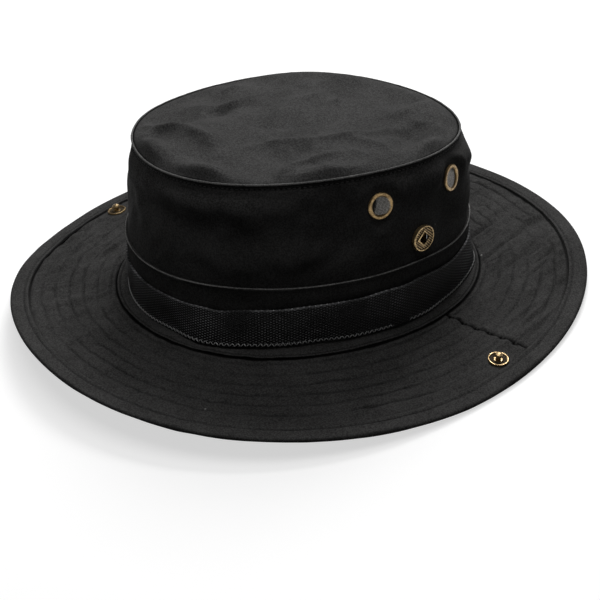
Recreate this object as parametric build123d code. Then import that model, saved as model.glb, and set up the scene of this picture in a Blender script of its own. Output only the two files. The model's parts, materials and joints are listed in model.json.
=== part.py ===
"""Wide-brim boonie hat of cotton drill, with side flaps that fold up and snap to the crown.

Millimetres, +Z up, +X to the wearer's right, +Y to the back. Angles are in degrees, seen from above,
from 0 at the right side by 90 at the back. The hat stands on its brim, and the origin is under the
middle of its box. Each sub-part is written to parts/NAME.step.
"""

import os
from math import atan2, ceil, cos, degrees, hypot, radians, sin, tan

from build123d import *

# ---- Crown: ovals of its foot and its top seam, on the middle of the cloth ----
foot_half_width = 95.2
foot_half_length = 92.7
foot_skew = 0.067
foot_corner = 0.027
foot_tip_height = 3.5
foot_tip_turn = -75
foot_wave_height = 3.4
foot_wave_turn = -55
crown_height = 98.7
top_half_width = 95.0
top_half_length = 86.7
top_shift_right = 0.8
top_shift_back = 9.0
seam_tip_height = 1.7
seam_tip_turn = -32
seam_wave_height = 1.3
seam_wave_turn = -16
wall_bulge = 4.4
top_dome = 2.5

# ---- Brim: its edge, and how the edge waves up and down ----
edge_half_width = 174.8
edge_half_length = 173.6
edge_skew = 0.029
edge_corner = 0.016
edge_drop = 4.3
edge_tip_height = 5.2
edge_tip_turn = -113
saddle_height = 5.9
saddle_turn = 91
third_wave_height = 2.6
third_wave_turn = 13
fourth_wave_height = 1.7
fourth_wave_turn = 43

# ---- Cloth and stitched layers ----
wall_cloth = 1.2
top_cloth = 1.2
brim_cloth = 0.6
brim_seam_angle = 7
stiffener_thickness = 0.9
ply_gap = 0.05
top_gap = 0.2
sewn_gap = 0.5
brim_tuck = 3.0
hem_width = 11.6
hem_cloth = 0.6
collar_width = 12.4
collar_cloth = 0.6
band_height = 38.6
band_cloth = 0.8
webbing_height = 26.8
webbing_thickness = 1.4
webbing_lift = 0.6
sweatband_height = 32.0
sweatband_thickness = 1.2
tape_height = 9.0
tape_thickness = 0.6
tape_drop = 1.0
tack_width = 3.0
tack_thickness = 0.5
tack_angle = -14.4

# ---- Snap stud on each flap ----
stud_inset = 18.6
stud_radius = 6.2
stud_rim_width = 1.1
stud_rim_height = 1.2
stud_dish_height = 0.5
stud_knob_radius = 2.5
stud_neck_radius = 1.6
stud_neck_height = 2.6
stud_knob_height = 5.0
stud_post_radius = 1.5
stud_cap_radius = 6.0
stud_cap_thickness = 1.0
hole_play = 0.2

# ---- Snap socket on each side of the crown ----
socket_height = 53.0
left_socket_turn = 5
socket_radius = 8.0
socket_depth = 2.6
socket_rim_width = 1.0
socket_face_drop = 0.5
diamond_side = 5.8
diamond_frame = 0.9
socket_plate = 0.7
spring_room_radius = 5.6
spring_room_depth = 0.8
spring_wire = 0.5
spring_play = 0.15
shank_radius = 3.5
shank_bore = 2.9
socket_cap_radius = 7.5
socket_cap_thickness = 0.8
snap_clearance = 0.3

# ---- Vents with screens ----
vent_angle = 18.2
vent_height = 79.6
vent_radius = 8.0
vent_bore = 5.9
vent_flange = 1.3
vent_barrel = 0.6
vent_washer = 0.6
screen_thickness = 0.4
screen_hole = 1.2
screen_pitch = 1.9

# ---- Folds of the two side flaps ----
fold_gap = 0.6
fold_room = 0.5
pivot_clearance = 0.4
flap_sweep = 75
seat_clearance = 0.05

# ---- How finely the curved cloth is laid out ----
section_step = 15
profile_step = 8
panel_reach = 1.2
panel_step = 0.24
tightest_curve = 60
probe_step = 0.1


def wave(angle, lobes, height, turn):
    """Height of a wave round the hat whose first crest is at an angle."""
    return height * cos(radians(lobes * (angle - turn)))


def foot_height(angle):
    """Height of the crown's foot."""
    return wave(angle, 1, foot_tip_height, foot_tip_turn) + wave(angle, 2, foot_wave_height, foot_wave_turn)


def seam_tip(angle):
    """Height that the top seam gains on one side and loses on the other, over the foot."""
    return wave(angle, 1, seam_tip_height, seam_tip_turn)


def seam_wave(angle):
    """Two-lobed height of the top seam over the foot."""
    return wave(angle, 2, seam_wave_height, seam_wave_turn)


def edge_height(angle):
    """Height of the brim's edge."""
    waves = wave(angle, 1, edge_tip_height, edge_tip_turn) + wave(angle, 2, saddle_height, saddle_turn)
    waves += wave(angle, 3, third_wave_height, third_wave_turn)
    waves += wave(angle, 4, fourth_wave_height, fourth_wave_turn)
    return waves - edge_drop


def oval_scale(angle, skew, corner):
    """Share by which an oval's radius departs from an ellipse's."""
    return 1 + skew * sin(radians(2 * angle)) - corner * cos(radians(3 * angle))


def foot_point(angle):
    """Point of the crown's foot, where the wall meets the brim."""
    scale = oval_scale(angle, foot_skew, foot_corner)
    x = foot_half_width * scale * cos(radians(angle))
    y = foot_half_length * scale * sin(radians(angle))
    return Vector(x, y, foot_height(angle))


def edge_point(angle):
    """Point of the brim's edge."""
    scale = oval_scale(angle, edge_skew, edge_corner)
    x = edge_half_width * scale * cos(radians(angle))
    y = edge_half_length * scale * sin(radians(angle))
    return Vector(x, y, edge_height(angle))


def brim_width(angle):
    """Level width of the brim from the crown's foot to its edge."""
    span = edge_point(angle) - foot_point(angle)
    return hypot(span.X, span.Y)


def brim_point(angle, out, rise):
    """Point on the brim, so far out from the crown's foot and so high over the middle of its layers."""
    start = foot_point(angle)
    return start + (edge_point(angle) - start) * (out / brim_width(angle)) + Vector(0, 0, rise)


def wall_point(angle, height, out):
    """Point of the crown's wall, so high over the foot and so far out from the middle of its cloth."""
    share = height / crown_height
    scale = oval_scale(angle, foot_skew, foot_corner)
    swell = wall_bulge * 4 * share * (1 - share)
    half_width = foot_half_width + (top_half_width - foot_half_width) * share + swell
    half_length = foot_half_length + (top_half_length - foot_half_length) * share + swell
    x = (half_width * scale + out) * cos(radians(angle)) + top_shift_right * share
    y = (half_length * scale + out) * sin(radians(angle)) + top_shift_back * share
    return Vector(x, y, foot_height(angle) + height + share * (seam_tip(angle) + seam_wave(angle)))


def surface_plane(point_at, angle, reach, lift):
    """Plane on a cloth surface, with its x along the round and its z out of the cloth."""
    along = point_at(angle + probe_step, reach, lift) - point_at(angle - probe_step, reach, lift)
    away = point_at(angle, reach + probe_step, lift) - point_at(angle, reach - probe_step, lift)
    normal = along.cross(away) if point_at is wall_point else away.cross(along)
    return Plane(origin=point_at(angle, reach, lift), x_dir=along, z_dir=normal)


def spread(start, stop, step):
    """Evenly spaced values from start to stop, no further apart than a step."""
    count = ceil(abs(stop - start) / step - 1e-6)
    return [start + (stop - start) * index / count for index in range(count + 1)]


# ---- Heights of the brim's layers over the middle of its stiffener, worked out from the cloth ----
upper_low = stiffener_thickness / 2 + ply_gap
upper_high = upper_low + brim_cloth
collar_low = upper_high + ply_gap
collar_high = collar_low + collar_cloth
hem_high = upper_high + ply_gap + hem_cloth
wall_foot = upper_high + sewn_gap
wall_half = wall_cloth / 2
band_inner = wall_half + ply_gap
band_outer = band_inner + band_cloth
webbing_inner = band_outer + ply_gap
webbing_outer = webbing_inner + webbing_thickness
webbing_foot = collar_high + webbing_lift


def brim_layer(start, stop, out_from, out_to, low, high):
    """Layer of the brim between two angles, between two distances out that may vary with the angle."""
    sections = []
    for angle in spread(start, stop, section_step):
        near, far = out_from(angle), out_to(angle)
        corners = [(near, low), (far, low), (far, high), (near, high)]
        sections.append(Wire.make_polygon([brim_point(angle, out, rise) for out, rise in corners]))
    return Solid.make_loft(sections)


def tuck_line(angle):
    """Inner edge of the brim's layers, under the foot of the wall."""
    return -brim_tuck


def hem_line(angle):
    """Outer edge of the brim's layers, inside the fold of the hem."""
    return brim_width(angle) - hem_cloth - ply_gap


def collar_inner(angle):
    """Inner edge of the collar, against the foot of the lower band."""
    return band_outer + sewn_gap + ply_gap


def collar_outer(angle):
    """Outer edge of the collar, along the first row of stitches."""
    return collar_width


def brim_hem(start, stop):
    """Hem binding, folded round the edge of the brim's layers."""
    sections = []
    inside = hem_high - hem_cloth
    for angle in spread(start, stop, section_step):
        far = brim_width(angle)
        near = far - hem_width
        wall = far - hem_cloth
        corners = [(near, hem_high), (far, hem_high), (far, -hem_high), (near, -hem_high)]
        corners += [(near, -inside), (wall, -inside), (wall, inside), (near, inside)]
        sections.append(Wire.make_polygon([brim_point(angle, out, rise) for out, rise in corners]))
    return Solid.make_loft(sections)


def wall_layer(start, stop, low, high, inner, outer):
    """Layer of cloth on the crown's wall between two angles."""
    heights = spread(low, high, profile_step)
    sections = []
    for angle in spread(start, stop, section_step):
        outside = [wall_point(angle, height, outer) for height in heights]
        inside = [wall_point(angle, height, inner) for height in reversed(heights)]
        sections.append(Wire.make_polygon(outside + inside))
    return Solid.make_loft(sections)


def wall_ring(low, high, inner, outer):
    """Closed ring of cloth round the crown's wall, in one piece."""
    halves = [wall_layer(start, start + 180, low, high, inner, outer) for start in (0, 180)]
    return halves[0] + halves[1]


def top_height(x, y):
    """Height of the underside of the crown's top panel."""
    across = (x - top_shift_right) / top_half_width
    along = (y - top_shift_back) / top_half_length
    angle = degrees(atan2(along, across))
    share = hypot(across, along) / oval_scale(angle, foot_skew, foot_corner)
    tip = wave(angle, 1, foot_tip_height, foot_tip_turn) + seam_tip(angle)
    lobes = wave(angle, 2, foot_wave_height, foot_wave_turn) + seam_wave(angle)
    return crown_height + top_gap + share * tip + share ** 2 * lobes + top_dome * (1 - share ** 2)


def crown_top():
    """Slightly domed oval top panel, whose edge lies on the top of the wall."""
    shares = spread(-panel_reach, panel_reach, panel_step)
    sections = []
    for along in shares:
        y = top_shift_back + along * top_half_length
        row = [top_shift_right + across * top_half_width for across in shares]
        low = [Vector(x, y, top_height(x, y)) for x in row]
        high = [point + Vector(0, 0, top_cloth) for point in reversed(low)]
        edges = [
            Edge.make_spline(low),
            Edge.make_line(low[-1], high[0]),
            Edge.make_spline(high),
            Edge.make_line(high[-1], low[0]),
        ]
        sections.append(Wire(edges))
    sheet = Solid.make_loft(sections)
    rim = [wall_point(angle, crown_height, wall_half) for angle in spread(0, 360, section_step)[:-1]]
    outline = Wire([Edge.make_spline([Vector(point.X, point.Y, 0) for point in rim], periodic=True)])
    return sheet & extrude(Face(outline), amount=2 * crown_height)


def turned(profile):
    """Solid of revolution from (radius, height) corners."""
    corners = [Vector(radius, 0, height) for radius, height in profile]
    return Solid.revolve(Face(Wire.make_polygon(corners)), 360, Axis.Z)


def disc(radius, low, high):
    """Round plate between two heights."""
    return Solid.make_cylinder(radius, high - low, Plane((0, 0, low)))


def ring(outer, inner, low, high):
    """Flat ring between two heights."""
    return disc(outer, low, high) - disc(inner, low - 1, high + 1)


def bow(radius):
    """Depth by which the curved wall departs from a flat disc laid on it."""
    return radius ** 2 / (2 * tightest_curve)


# ---- Snap stud: its flange is on the flap's upper cloth, its post passes through to the cap below ----
flap_thickness = 2 * upper_high


def snap_stud():
    """Stud seen from above: dished flange with a raised rim, and a domed knob on a neck."""
    rim_inner = stud_radius - stud_rim_width
    rim_round = stud_rim_width / 3
    flange = [
        (0, seat_clearance),
        (stud_radius, seat_clearance),
        (stud_radius, stud_rim_height - rim_round),
        (stud_radius - rim_round, stud_rim_height),
        (rim_inner + rim_round, stud_rim_height),
        (rim_inner, stud_rim_height - rim_round),
        (rim_inner, stud_dish_height),
        (0, stud_dish_height),
    ]
    dome_round = (stud_knob_height - stud_neck_height) / 2
    knob = [
        (0, seat_clearance),
        (stud_neck_radius, seat_clearance),
        (stud_neck_radius, stud_neck_height),
        (stud_knob_radius, stud_neck_height + dome_round / 2),
        (stud_knob_radius, stud_knob_height - dome_round),
        (stud_knob_radius - dome_round / 2, stud_knob_height - dome_round / 3),
        (stud_knob_radius / 3, stud_knob_height),
        (0, stud_knob_height),
    ]
    post = disc(stud_post_radius, -flap_thickness, 2 * seat_clearance)
    return turned(flange) + turned(knob) + post


def stud_cap():
    """Domed cap under the flap, which the stud's post is pressed into."""
    top = -flap_thickness - seat_clearance
    bottom = top - stud_cap_thickness
    edge_round = stud_cap_thickness / 2
    profile = [
        (0, top),
        (stud_cap_radius, top),
        (stud_cap_radius, top - edge_round),
        (stud_cap_radius - edge_round, bottom),
        (0, bottom),
    ]
    return turned(profile)


# ---- Snap socket: its body is on the wall, its shank passes through to the cap inside ----
shank_end = -(wall_cloth + bow(socket_cap_radius) + 2 * seat_clearance)
spring_floor = socket_depth - socket_plate - spring_room_depth
socket_face = socket_depth - socket_face_drop


def diamond(side, low, high):
    """Square prism that stands on its corner."""
    block = Solid.make_box(side, side, high - low, Plane((-side / 2, -side / 2, low)))
    return block.rotate(Axis.Z, 45)


def socket_body():
    """Round housing with a raised rim, and a raised frame round the square hole for the knob."""
    rim_inner = socket_radius - socket_rim_width
    edge_round = socket_rim_width / 3
    profile = [
        (shank_bore, seat_clearance),
        (socket_radius - edge_round, seat_clearance),
        (socket_radius, seat_clearance + edge_round),
        (socket_radius, socket_depth - edge_round),
        (socket_radius - edge_round, socket_depth),
        (rim_inner, socket_depth),
        (rim_inner - socket_face_drop, socket_face),
        (shank_bore, socket_face),
    ]
    shank = ring(shank_radius, shank_bore, shank_end, 2 * seat_clearance)
    plate = disc(shank_bore + seat_clearance, socket_face - (socket_plate - socket_face_drop), socket_face)
    frame = diamond(diamond_side + 2 * diamond_frame, socket_face - seat_clearance, socket_depth)
    room = disc(spring_room_radius, spring_floor, spring_floor + spring_room_depth)
    hole = diamond(diamond_side, spring_floor, socket_depth + 1)
    return turned(profile) + shank + plate + frame - room - hole


def socket_springs():
    """Two straight wires, which grip the knob from both sides."""
    offset = stud_knob_radius + spring_play + spring_wire / 2
    length = 2 * (spring_room_radius ** 2 - (offset + spring_wire / 2) ** 2) ** 0.5 - 2 * seat_clearance
    height = spring_floor + spring_wire / 2 + seat_clearance
    wires = []
    for side in (-1, 1):
        start = Plane(origin=(side * offset, -length / 2, height), z_dir=(0, 1, 0))
        wires.append(Solid.make_cylinder(spring_wire / 2, length, start))
    return wires


def socket_cap():
    """Cap inside the crown, which the socket's shank is pressed into."""
    top = shank_end - seat_clearance
    return disc(socket_cap_radius, top - socket_cap_thickness, top)


def socket_cut():
    """Hole in the wall for the socket's shank."""
    return disc(shank_radius + hole_play, -4 * wall_cloth, 2 * wall_cloth)


# ---- Vent: ring outside, washer inside, and a screen held in the ring's barrel ----
barrel_end = -(wall_cloth + bow(vent_radius) + vent_washer + 2 * seat_clearance)
barrel_radius = vent_bore + vent_barrel


def vent_ring():
    """Eyelet with a rounded flange outside and a barrel through the wall."""
    edge_round = vent_flange / 3
    ledge = vent_bore - vent_barrel / 2
    profile = [
        (vent_bore, barrel_end),
        (barrel_radius, barrel_end),
        (barrel_radius, seat_clearance),
        (vent_radius, seat_clearance),
        (vent_radius, vent_flange - edge_round),
        (vent_radius - edge_round, vent_flange),
        (vent_bore + edge_round, vent_flange),
        (ledge, vent_flange - edge_round),
        (ledge, screen_thickness + 2 * seat_clearance),
        (vent_bore, screen_thickness + 2 * seat_clearance),
    ]
    return turned(profile)


def vent_washer_ring():
    """Washer that the vent's barrel is spread over, inside the crown."""
    top = -(wall_cloth + bow(vent_radius) + seat_clearance)
    return ring(vent_radius, barrel_radius + seat_clearance, top - vent_washer, top)


def vent_screen():
    """Perforated screen, seated under the ring's ledge."""
    plate = disc(vent_bore - seat_clearance, seat_clearance, seat_clearance + screen_thickness)
    reach = vent_bore - screen_hole
    count = int(reach / screen_pitch)
    places = [index * screen_pitch for index in range(-count, count + 1)]
    for x in places:
        for y in places:
            if hypot(x, y) < reach:
                plate -= Pos(x, y, 0) * disc(screen_hole / 2, 0, 2 * screen_thickness)
    return plate


def vent_cut():
    """Hole in the wall for the vent's barrel."""
    return disc(barrel_radius + hole_play, -4 * wall_cloth, 2 * wall_cloth)


class Fold:
    """Fold of one side flap: the hinge that carries the stud from the brim up to the socket."""

    def __init__(self, stud_angle, socket_angle):
        """Find the one turn that lays the stud, face down, on the socket."""
        self.stud_angle = stud_angle
        stud_out = brim_width(stud_angle) - stud_inset
        self.stud_plane = surface_plane(brim_point, stud_angle, stud_out, upper_high)
        self.socket_plane = surface_plane(wall_point, socket_angle, socket_height, wall_half)
        wall_normal, brim_normal = self.socket_plane.z_dir, self.stud_plane.z_dir
        stack = socket_depth + snap_clearance + stud_rim_height
        travel = self.socket_plane.origin + wall_normal * stack - self.stud_plane.origin
        self.axis = (brim_normal + wall_normal).cross(travel).normalized()
        start = brim_normal - self.axis * brim_normal.dot(self.axis)
        stop = self.axis * wall_normal.dot(self.axis) - wall_normal
        self.closing_angle = start.get_angle(stop)
        half_turn = radians(self.closing_angle / 2)
        aside = self.axis.cross(travel) * (1 / tan(half_turn))
        self.centre = self.stud_plane.origin + (travel + aside) * 0.5
        self.outward = Vector(0, 0, 1).cross(self.axis).normalized()
        self.upward = self.axis.cross(self.outward)
        self.angles = spread(stud_angle - flap_sweep, stud_angle + flap_sweep, section_step / 5)
        self.radius = self.find_radius()

    def find_radius(self):
        """Radius of the cut about the hinge: outside the collar, and the flap closes over the brim's top."""
        collar = [brim_point(angle, collar_width, collar_high) for angle in self.angles]
        spans = [point - self.centre for point in collar]
        beyond_hinge = [span for span in spans if span.dot(self.outward) > 0]
        reaches = [hypot(span.dot(self.outward), span.dot(self.upward)) for span in beyond_hinge]
        radius = fold_room + max(reaches)
        rise_share = cos(radians(self.closing_angle / 2))
        room = pivot_clearance + fold_gap
        while max(self.ridge(reach) for reach in (-radius, 0, radius)) + room > radius * rise_share:
            radius += fold_room
        return radius

    def ridge(self, reach):
        """Greatest height of the brim's top over the hinge, so far outward from it."""
        rises = [0]
        for angle in self.angles:
            inner = brim_point(angle, 0, hem_high) - self.centre
            outer = brim_point(angle, brim_width(angle), hem_high) - self.centre
            near, far = inner.dot(self.outward), outer.dot(self.outward)
            if near < reach < far:
                crossing = inner + (outer - inner) * ((reach - near) / (far - near))
                rises.append(crossing.dot(self.upward))
        return max(rises)

    def beyond(self, offset):
        """Block outward of the hinge, hollowed by the round cut about its axis with an offset."""
        size = 4 * edge_half_width
        hinge_plane = Plane(self.centre, z_dir=self.outward)
        block = Solid.extrude(Face(Wire.make_rect(size, size, hinge_plane)), self.outward * size)
        barrel_plane = Plane(self.centre - self.axis * (size / 2), z_dir=self.axis)
        return block - Solid.make_cylinder(self.radius + offset, size, barrel_plane)


folds = {"right": Fold(0, 0), "left": Fold(180, 180 + left_socket_turn)}


def brim_layers(start, stop):
    """Quilted layers and hem of the brim between two angles."""
    half = stiffener_thickness / 2
    return {
        "upper": brim_layer(start, stop, tuck_line, hem_line, upper_low, upper_high),
        "stiffener": brim_layer(start, stop, tuck_line, hem_line, -half, half),
        "lining": brim_layer(start, stop, tuck_line, hem_line, -upper_high, -upper_low),
        "hem": brim_hem(start, stop),
    }


def brim_parts():
    """Layers of the brim's front, back and flaps, with holes for the studs' posts, and the collar."""
    nodes = {}
    seams = (brim_seam_angle, 180 - brim_seam_angle, 360 + brim_seam_angle)
    for zone, start, stop in (("back", seams[0], seams[1]), ("front", seams[1], seams[2])):
        for name, layer in brim_layers(start, stop).items():
            for fold in folds.values():
                layer -= fold.beyond(-fold_gap / 2)
            nodes[f"brim_{zone}_{name}"] = layer
    post_hole = disc(stud_post_radius + hole_play, -2 * flap_thickness, flap_thickness)
    for side, fold in folds.items():
        layers = brim_layers(fold.stud_angle - flap_sweep, fold.stud_angle + flap_sweep)
        for name, layer in layers.items():
            layer &= fold.beyond(fold_gap / 2)
            if name != "hem":
                layer -= fold.stud_plane.location * post_hole
            nodes[f"{side}_flap_{name}"] = layer
    halves = [
        brim_layer(start, start + 180, collar_inner, collar_outer, collar_low, collar_high)
        for start in (0, 180)
    ]
    nodes["brim_collar"] = halves[0] + halves[1]
    return nodes


def hardware():
    """Studs, sockets and vents, with the blocks that cut their holes in the wall."""
    nodes, cuts = {}, []
    for side, fold in folds.items():
        stud_place, socket_place = fold.stud_plane.location, fold.socket_plane.location
        nodes[f"{side}_stud"] = stud_place * snap_stud()
        nodes[f"{side}_stud_cap"] = stud_place * stud_cap()
        nodes[f"{side}_socket"] = socket_place * socket_body()
        nodes[f"{side}_socket_springs"] = Compound([socket_place * wire for wire in socket_springs()])
        nodes[f"{side}_socket_cap"] = socket_place * socket_cap()
        cuts.append(socket_place * socket_cut())
        for end, turn in (("front", -vent_angle), ("back", vent_angle)):
            angle = fold.stud_angle + turn * cos(radians(fold.stud_angle))
            place = surface_plane(wall_point, angle, vent_height, wall_half).location
            nodes[f"{side}_{end}_vent_ring"] = place * vent_ring()
            nodes[f"{side}_{end}_vent_screen"] = place * vent_screen()
            nodes[f"{side}_{end}_vent_washer"] = place * vent_washer_ring()
            cuts.append(place * vent_cut())
    return nodes, cuts


def crown_parts(cuts):
    """Wall, top, bands and linings of the crown."""
    nodes = {}
    for zone, start in (("back", 0), ("front", 180)):
        wall = wall_layer(start, start + 180, wall_foot, crown_height, -wall_half, wall_half)
        for cut in cuts:
            wall -= cut
        nodes[f"crown_wall_{zone}"] = wall
    nodes["crown_top"] = crown_top()
    tape_top = crown_height - tape_drop
    tape_outer = -wall_half - ply_gap
    tape_inner = tape_outer - tape_thickness
    nodes["top_seam_tape"] = wall_ring(tape_top - tape_height, tape_top, tape_inner, tape_outer)
    nodes["lower_band"] = wall_ring(wall_foot, band_height, band_inner, band_outer)
    nodes["webbing_band"] = wall_ring(webbing_foot, webbing_height, webbing_inner, webbing_outer)
    sweat_outer = -wall_half - ply_gap
    sweat_inner = sweat_outer - sweatband_thickness
    nodes["sweatband"] = wall_ring(wall_foot, sweatband_height, sweat_inner, sweat_outer)
    half_turn = degrees(tack_width / 2 / foot_half_width)
    tack_inner = webbing_outer + ply_gap
    nodes["webbing_tack"] = wall_layer(
        tack_angle - half_turn,
        tack_angle + half_turn,
        webbing_foot,
        webbing_height,
        tack_inner,
        tack_inner + tack_thickness,
    )
    return nodes


def seat_on_floor(nodes):
    """Move the hat so that the middle of the bottom of its box is the origin."""
    box = Compound([solid for shape in nodes.values() for solid in shape.solids()]).bounding_box()
    shift = Vector(-box.center().X, -box.center().Y, -box.min.Z)
    return shift, {name: Pos(*shift) * shape for name, shape in nodes.items()}


metal, cuts = hardware()
floor_shift, parts = seat_on_floor({**crown_parts(cuts), **brim_parts(), **metal})

os.makedirs("parts", exist_ok=True)
for name, shape in parts.items():
    export_step(shape, f"parts/{name}.step")
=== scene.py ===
"""Boonie hat of black cotton drill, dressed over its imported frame.

The hat stands on its brim. Lengths are in millimetres and angles in degrees, seen from above, from 0 at
the wearer's right by 90 at the back. A mesh is turned into metres, in the frame's axes, as it is placed.
"""

import json
import logging
from dataclasses import dataclass, field
from enum import Enum
from math import cos, pi, radians, sin
from typing import Callable, Sequence

import bpy
import numpy as np
from mathutils import Matrix, Vector

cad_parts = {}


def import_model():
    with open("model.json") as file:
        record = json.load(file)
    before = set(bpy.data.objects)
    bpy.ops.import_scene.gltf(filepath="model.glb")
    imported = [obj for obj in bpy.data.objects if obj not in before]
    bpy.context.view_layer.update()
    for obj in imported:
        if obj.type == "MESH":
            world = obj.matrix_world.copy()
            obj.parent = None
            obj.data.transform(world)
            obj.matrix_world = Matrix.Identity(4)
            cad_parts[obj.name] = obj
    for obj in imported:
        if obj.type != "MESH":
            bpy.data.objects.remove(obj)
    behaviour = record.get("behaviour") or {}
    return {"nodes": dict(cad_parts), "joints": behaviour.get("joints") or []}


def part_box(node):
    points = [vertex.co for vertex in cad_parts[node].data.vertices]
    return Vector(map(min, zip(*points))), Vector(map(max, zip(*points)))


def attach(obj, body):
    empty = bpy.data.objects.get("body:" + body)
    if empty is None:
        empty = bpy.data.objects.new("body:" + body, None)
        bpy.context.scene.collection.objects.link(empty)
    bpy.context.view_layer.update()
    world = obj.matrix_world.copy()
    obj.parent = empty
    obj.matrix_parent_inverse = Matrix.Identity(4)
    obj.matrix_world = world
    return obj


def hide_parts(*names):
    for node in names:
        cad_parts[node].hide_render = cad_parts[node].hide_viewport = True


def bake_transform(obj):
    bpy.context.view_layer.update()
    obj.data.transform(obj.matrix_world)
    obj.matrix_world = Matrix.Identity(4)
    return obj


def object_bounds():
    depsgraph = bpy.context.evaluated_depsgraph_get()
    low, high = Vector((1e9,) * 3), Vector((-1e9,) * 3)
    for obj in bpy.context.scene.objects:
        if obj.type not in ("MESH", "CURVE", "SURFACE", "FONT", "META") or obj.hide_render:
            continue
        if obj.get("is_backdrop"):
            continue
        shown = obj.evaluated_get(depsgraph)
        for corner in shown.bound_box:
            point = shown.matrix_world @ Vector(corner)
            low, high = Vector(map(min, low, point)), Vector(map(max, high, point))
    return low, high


LOG = logging.getLogger("boonie_hat")
MM = 0.001
HASH_TURNS = (127.1, 311.7, 74.7)
HASH_SCALE = 43758.5453
ARCH_POWER = 0.8
CREASE_TAPER = 0.12
CREASE_BLUNT = 0.2
CREASE_PEAK = 0.45
SEAM_BLUR = (-8, -3, 3, 8)
HALF_ROW = 89.7
ROW_POINTS = 1500

Array = np.ndarray
Colour = tuple[float, float, float]


# ---------------------------------------------------------------------------------------------------
# Random and repeated fields
# ---------------------------------------------------------------------------------------------------


def crumple(around: Array, across: Array, seed: int, cells: int = 0) -> Array:
    """Smooth random field of unit cells, the same on each run.

    Args:
        around: First coordinate, in cells.
        across: Second coordinate, in cells.
        seed: Number that picks the field.
        cells: Cells after which the first coordinate repeats, or 0 for never.

    Returns:
        Values from -1 to 1.
    """
    near, low = np.floor(around), np.floor(across)

    def corner(i: Array, j: Array) -> Array:
        """Random value of a lattice point."""
        turned = np.mod(i, cells) if cells else i
        wave = np.sin(turned * HASH_TURNS[0] + j * HASH_TURNS[1] + seed * HASH_TURNS[2]) * HASH_SCALE
        return wave - np.floor(wave)

    share, rise = around - near, across - low
    share, rise = share**2 * (3 - 2 * share), rise**2 * (3 - 2 * rise)
    bottom = corner(near, low) * (1 - share) + corner(near + 1, low) * share
    top = corner(near, low + 1) * (1 - share) + corner(near + 1, low + 1) * share
    return (bottom * (1 - rise) + top * rise) * 2 - 1


def hump(distance: Array, width: float) -> Array:
    """Bell of height 1 at no distance, which has faded by about two widths."""
    return np.exp(-((distance / width) ** 2))


def step_up(value: Array, low: float, high: float) -> Array:
    """Smooth rise from 0 at low to 1 at high."""
    share = np.clip((value - low) / (high - low), 0, 1)
    return share**2 * (3 - 2 * share)


def plateau(value: Array, rise: tuple[Array, Array], fall: tuple[Array, Array]) -> Array:
    """Smooth rise from 0 to 1 over one range, and back to 0 over another."""
    return step_up(value, *rise) * (1 - step_up(value, *fall))


def arch(share: Array) -> Array:
    """Full arch of height 1, from a share of 0 to a share of 1."""
    return np.sin(pi * np.clip(share, 0, 1)) ** ARCH_POWER


def turn_apart(angle: Array, other: float) -> Array:
    """Signed degrees from one angle to another, the short way round."""
    return (angle - other + 180) % 360 - 180


@dataclass(frozen=True)
class Ripple:
    """Random waves round the hat: their height, cells to the turn, reach of a cell across, and seed."""

    height: float
    cells: int
    span: float
    seed: int

    def at(
        self, angle: Array, across: Array = 0.0, other: int = 0, slide: Array = 0.0, lift: Array = 0.0
    ) -> Array:
        """Height of the waves.

        Args:
            angle: Angles round the hat.
            across: Distances across the waves.
            other: Number that picks another field of the same kind.
            slide: Cells by which the waves are moved round.
            lift: Cells by which the waves are moved across.

        Returns:
            The height at each place.
        """
        around = angle / 360 * self.cells + slide
        return self.height * crumple(around, across / self.span + lift, self.seed + other, self.cells)


@dataclass(frozen=True)
class Bulge:
    """Bell round the hat: its height, the angle of its middle, and its width in degrees."""

    height: float
    place: float
    spread: float

    def at(self, angle: Array) -> Array:
        """Height of the bell at angles."""
        return self.height * hump(turn_apart(angle, self.place), self.spread)


@dataclass(frozen=True)
class Mark:
    """Roll, groove or dark line across a measure: its height, its place there, and its width."""

    height: float
    place: float
    width: float

    def at(self, measure: Array) -> Array:
        """Height of the mark."""
        return self.height * hump(measure - self.place, self.width)


def total(parts: Sequence[Ripple | Bulge | Mark], places: Array, *more: object) -> Array:
    """Sum of some ripples, bulges or marks."""
    return sum(part.at(places, *more) for part in parts)


@dataclass(frozen=True)
class Wave:
    """Wave round the hat, with its number of lobes, its height and the angle of a crest."""

    lobes: int
    height: float
    crest: float

    def at(self, angle: Array) -> Array:
        """Height of the wave at angles."""
        return self.height * np.cos(np.radians(self.lobes * (angle - self.crest)))


@dataclass(frozen=True)
class Crease:
    """Ridge or dent along a chain of points on the crown's top, which thins out at its ends."""

    path: tuple[tuple[float, float], ...]
    height: float
    width: float

    def rise(self, x: Array, y: Array) -> Array:
        """Height that the crease adds at points of the panel."""
        nearest, tapered = np.full_like(x, np.inf), np.zeros_like(x)
        legs = len(self.path) - 1
        for leg, (start, stop) in enumerate(zip(self.path, self.path[1:])):
            run = np.subtract(stop, start)
            share = np.clip(((x - start[0]) * run[0] + (y - start[1]) * run[1]) / (run @ run), 0, 1)
            away = np.hypot(x - start[0] - share * run[0], y - start[1] - share * run[1])
            near = away < nearest
            place = CREASE_TAPER + (1 - 2 * CREASE_TAPER) * (leg + share) / legs
            tapered = np.where(near, np.sin(pi * place), tapered)
            nearest = np.where(near, away, nearest)
        blunt = np.sqrt((nearest / self.width) ** 2 + CREASE_BLUNT)
        return self.height * tapered * np.exp(CREASE_PEAK - blunt)


# ---------------------------------------------------------------------------------------------------
# Shape of the hat at rest
# ---------------------------------------------------------------------------------------------------


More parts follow.
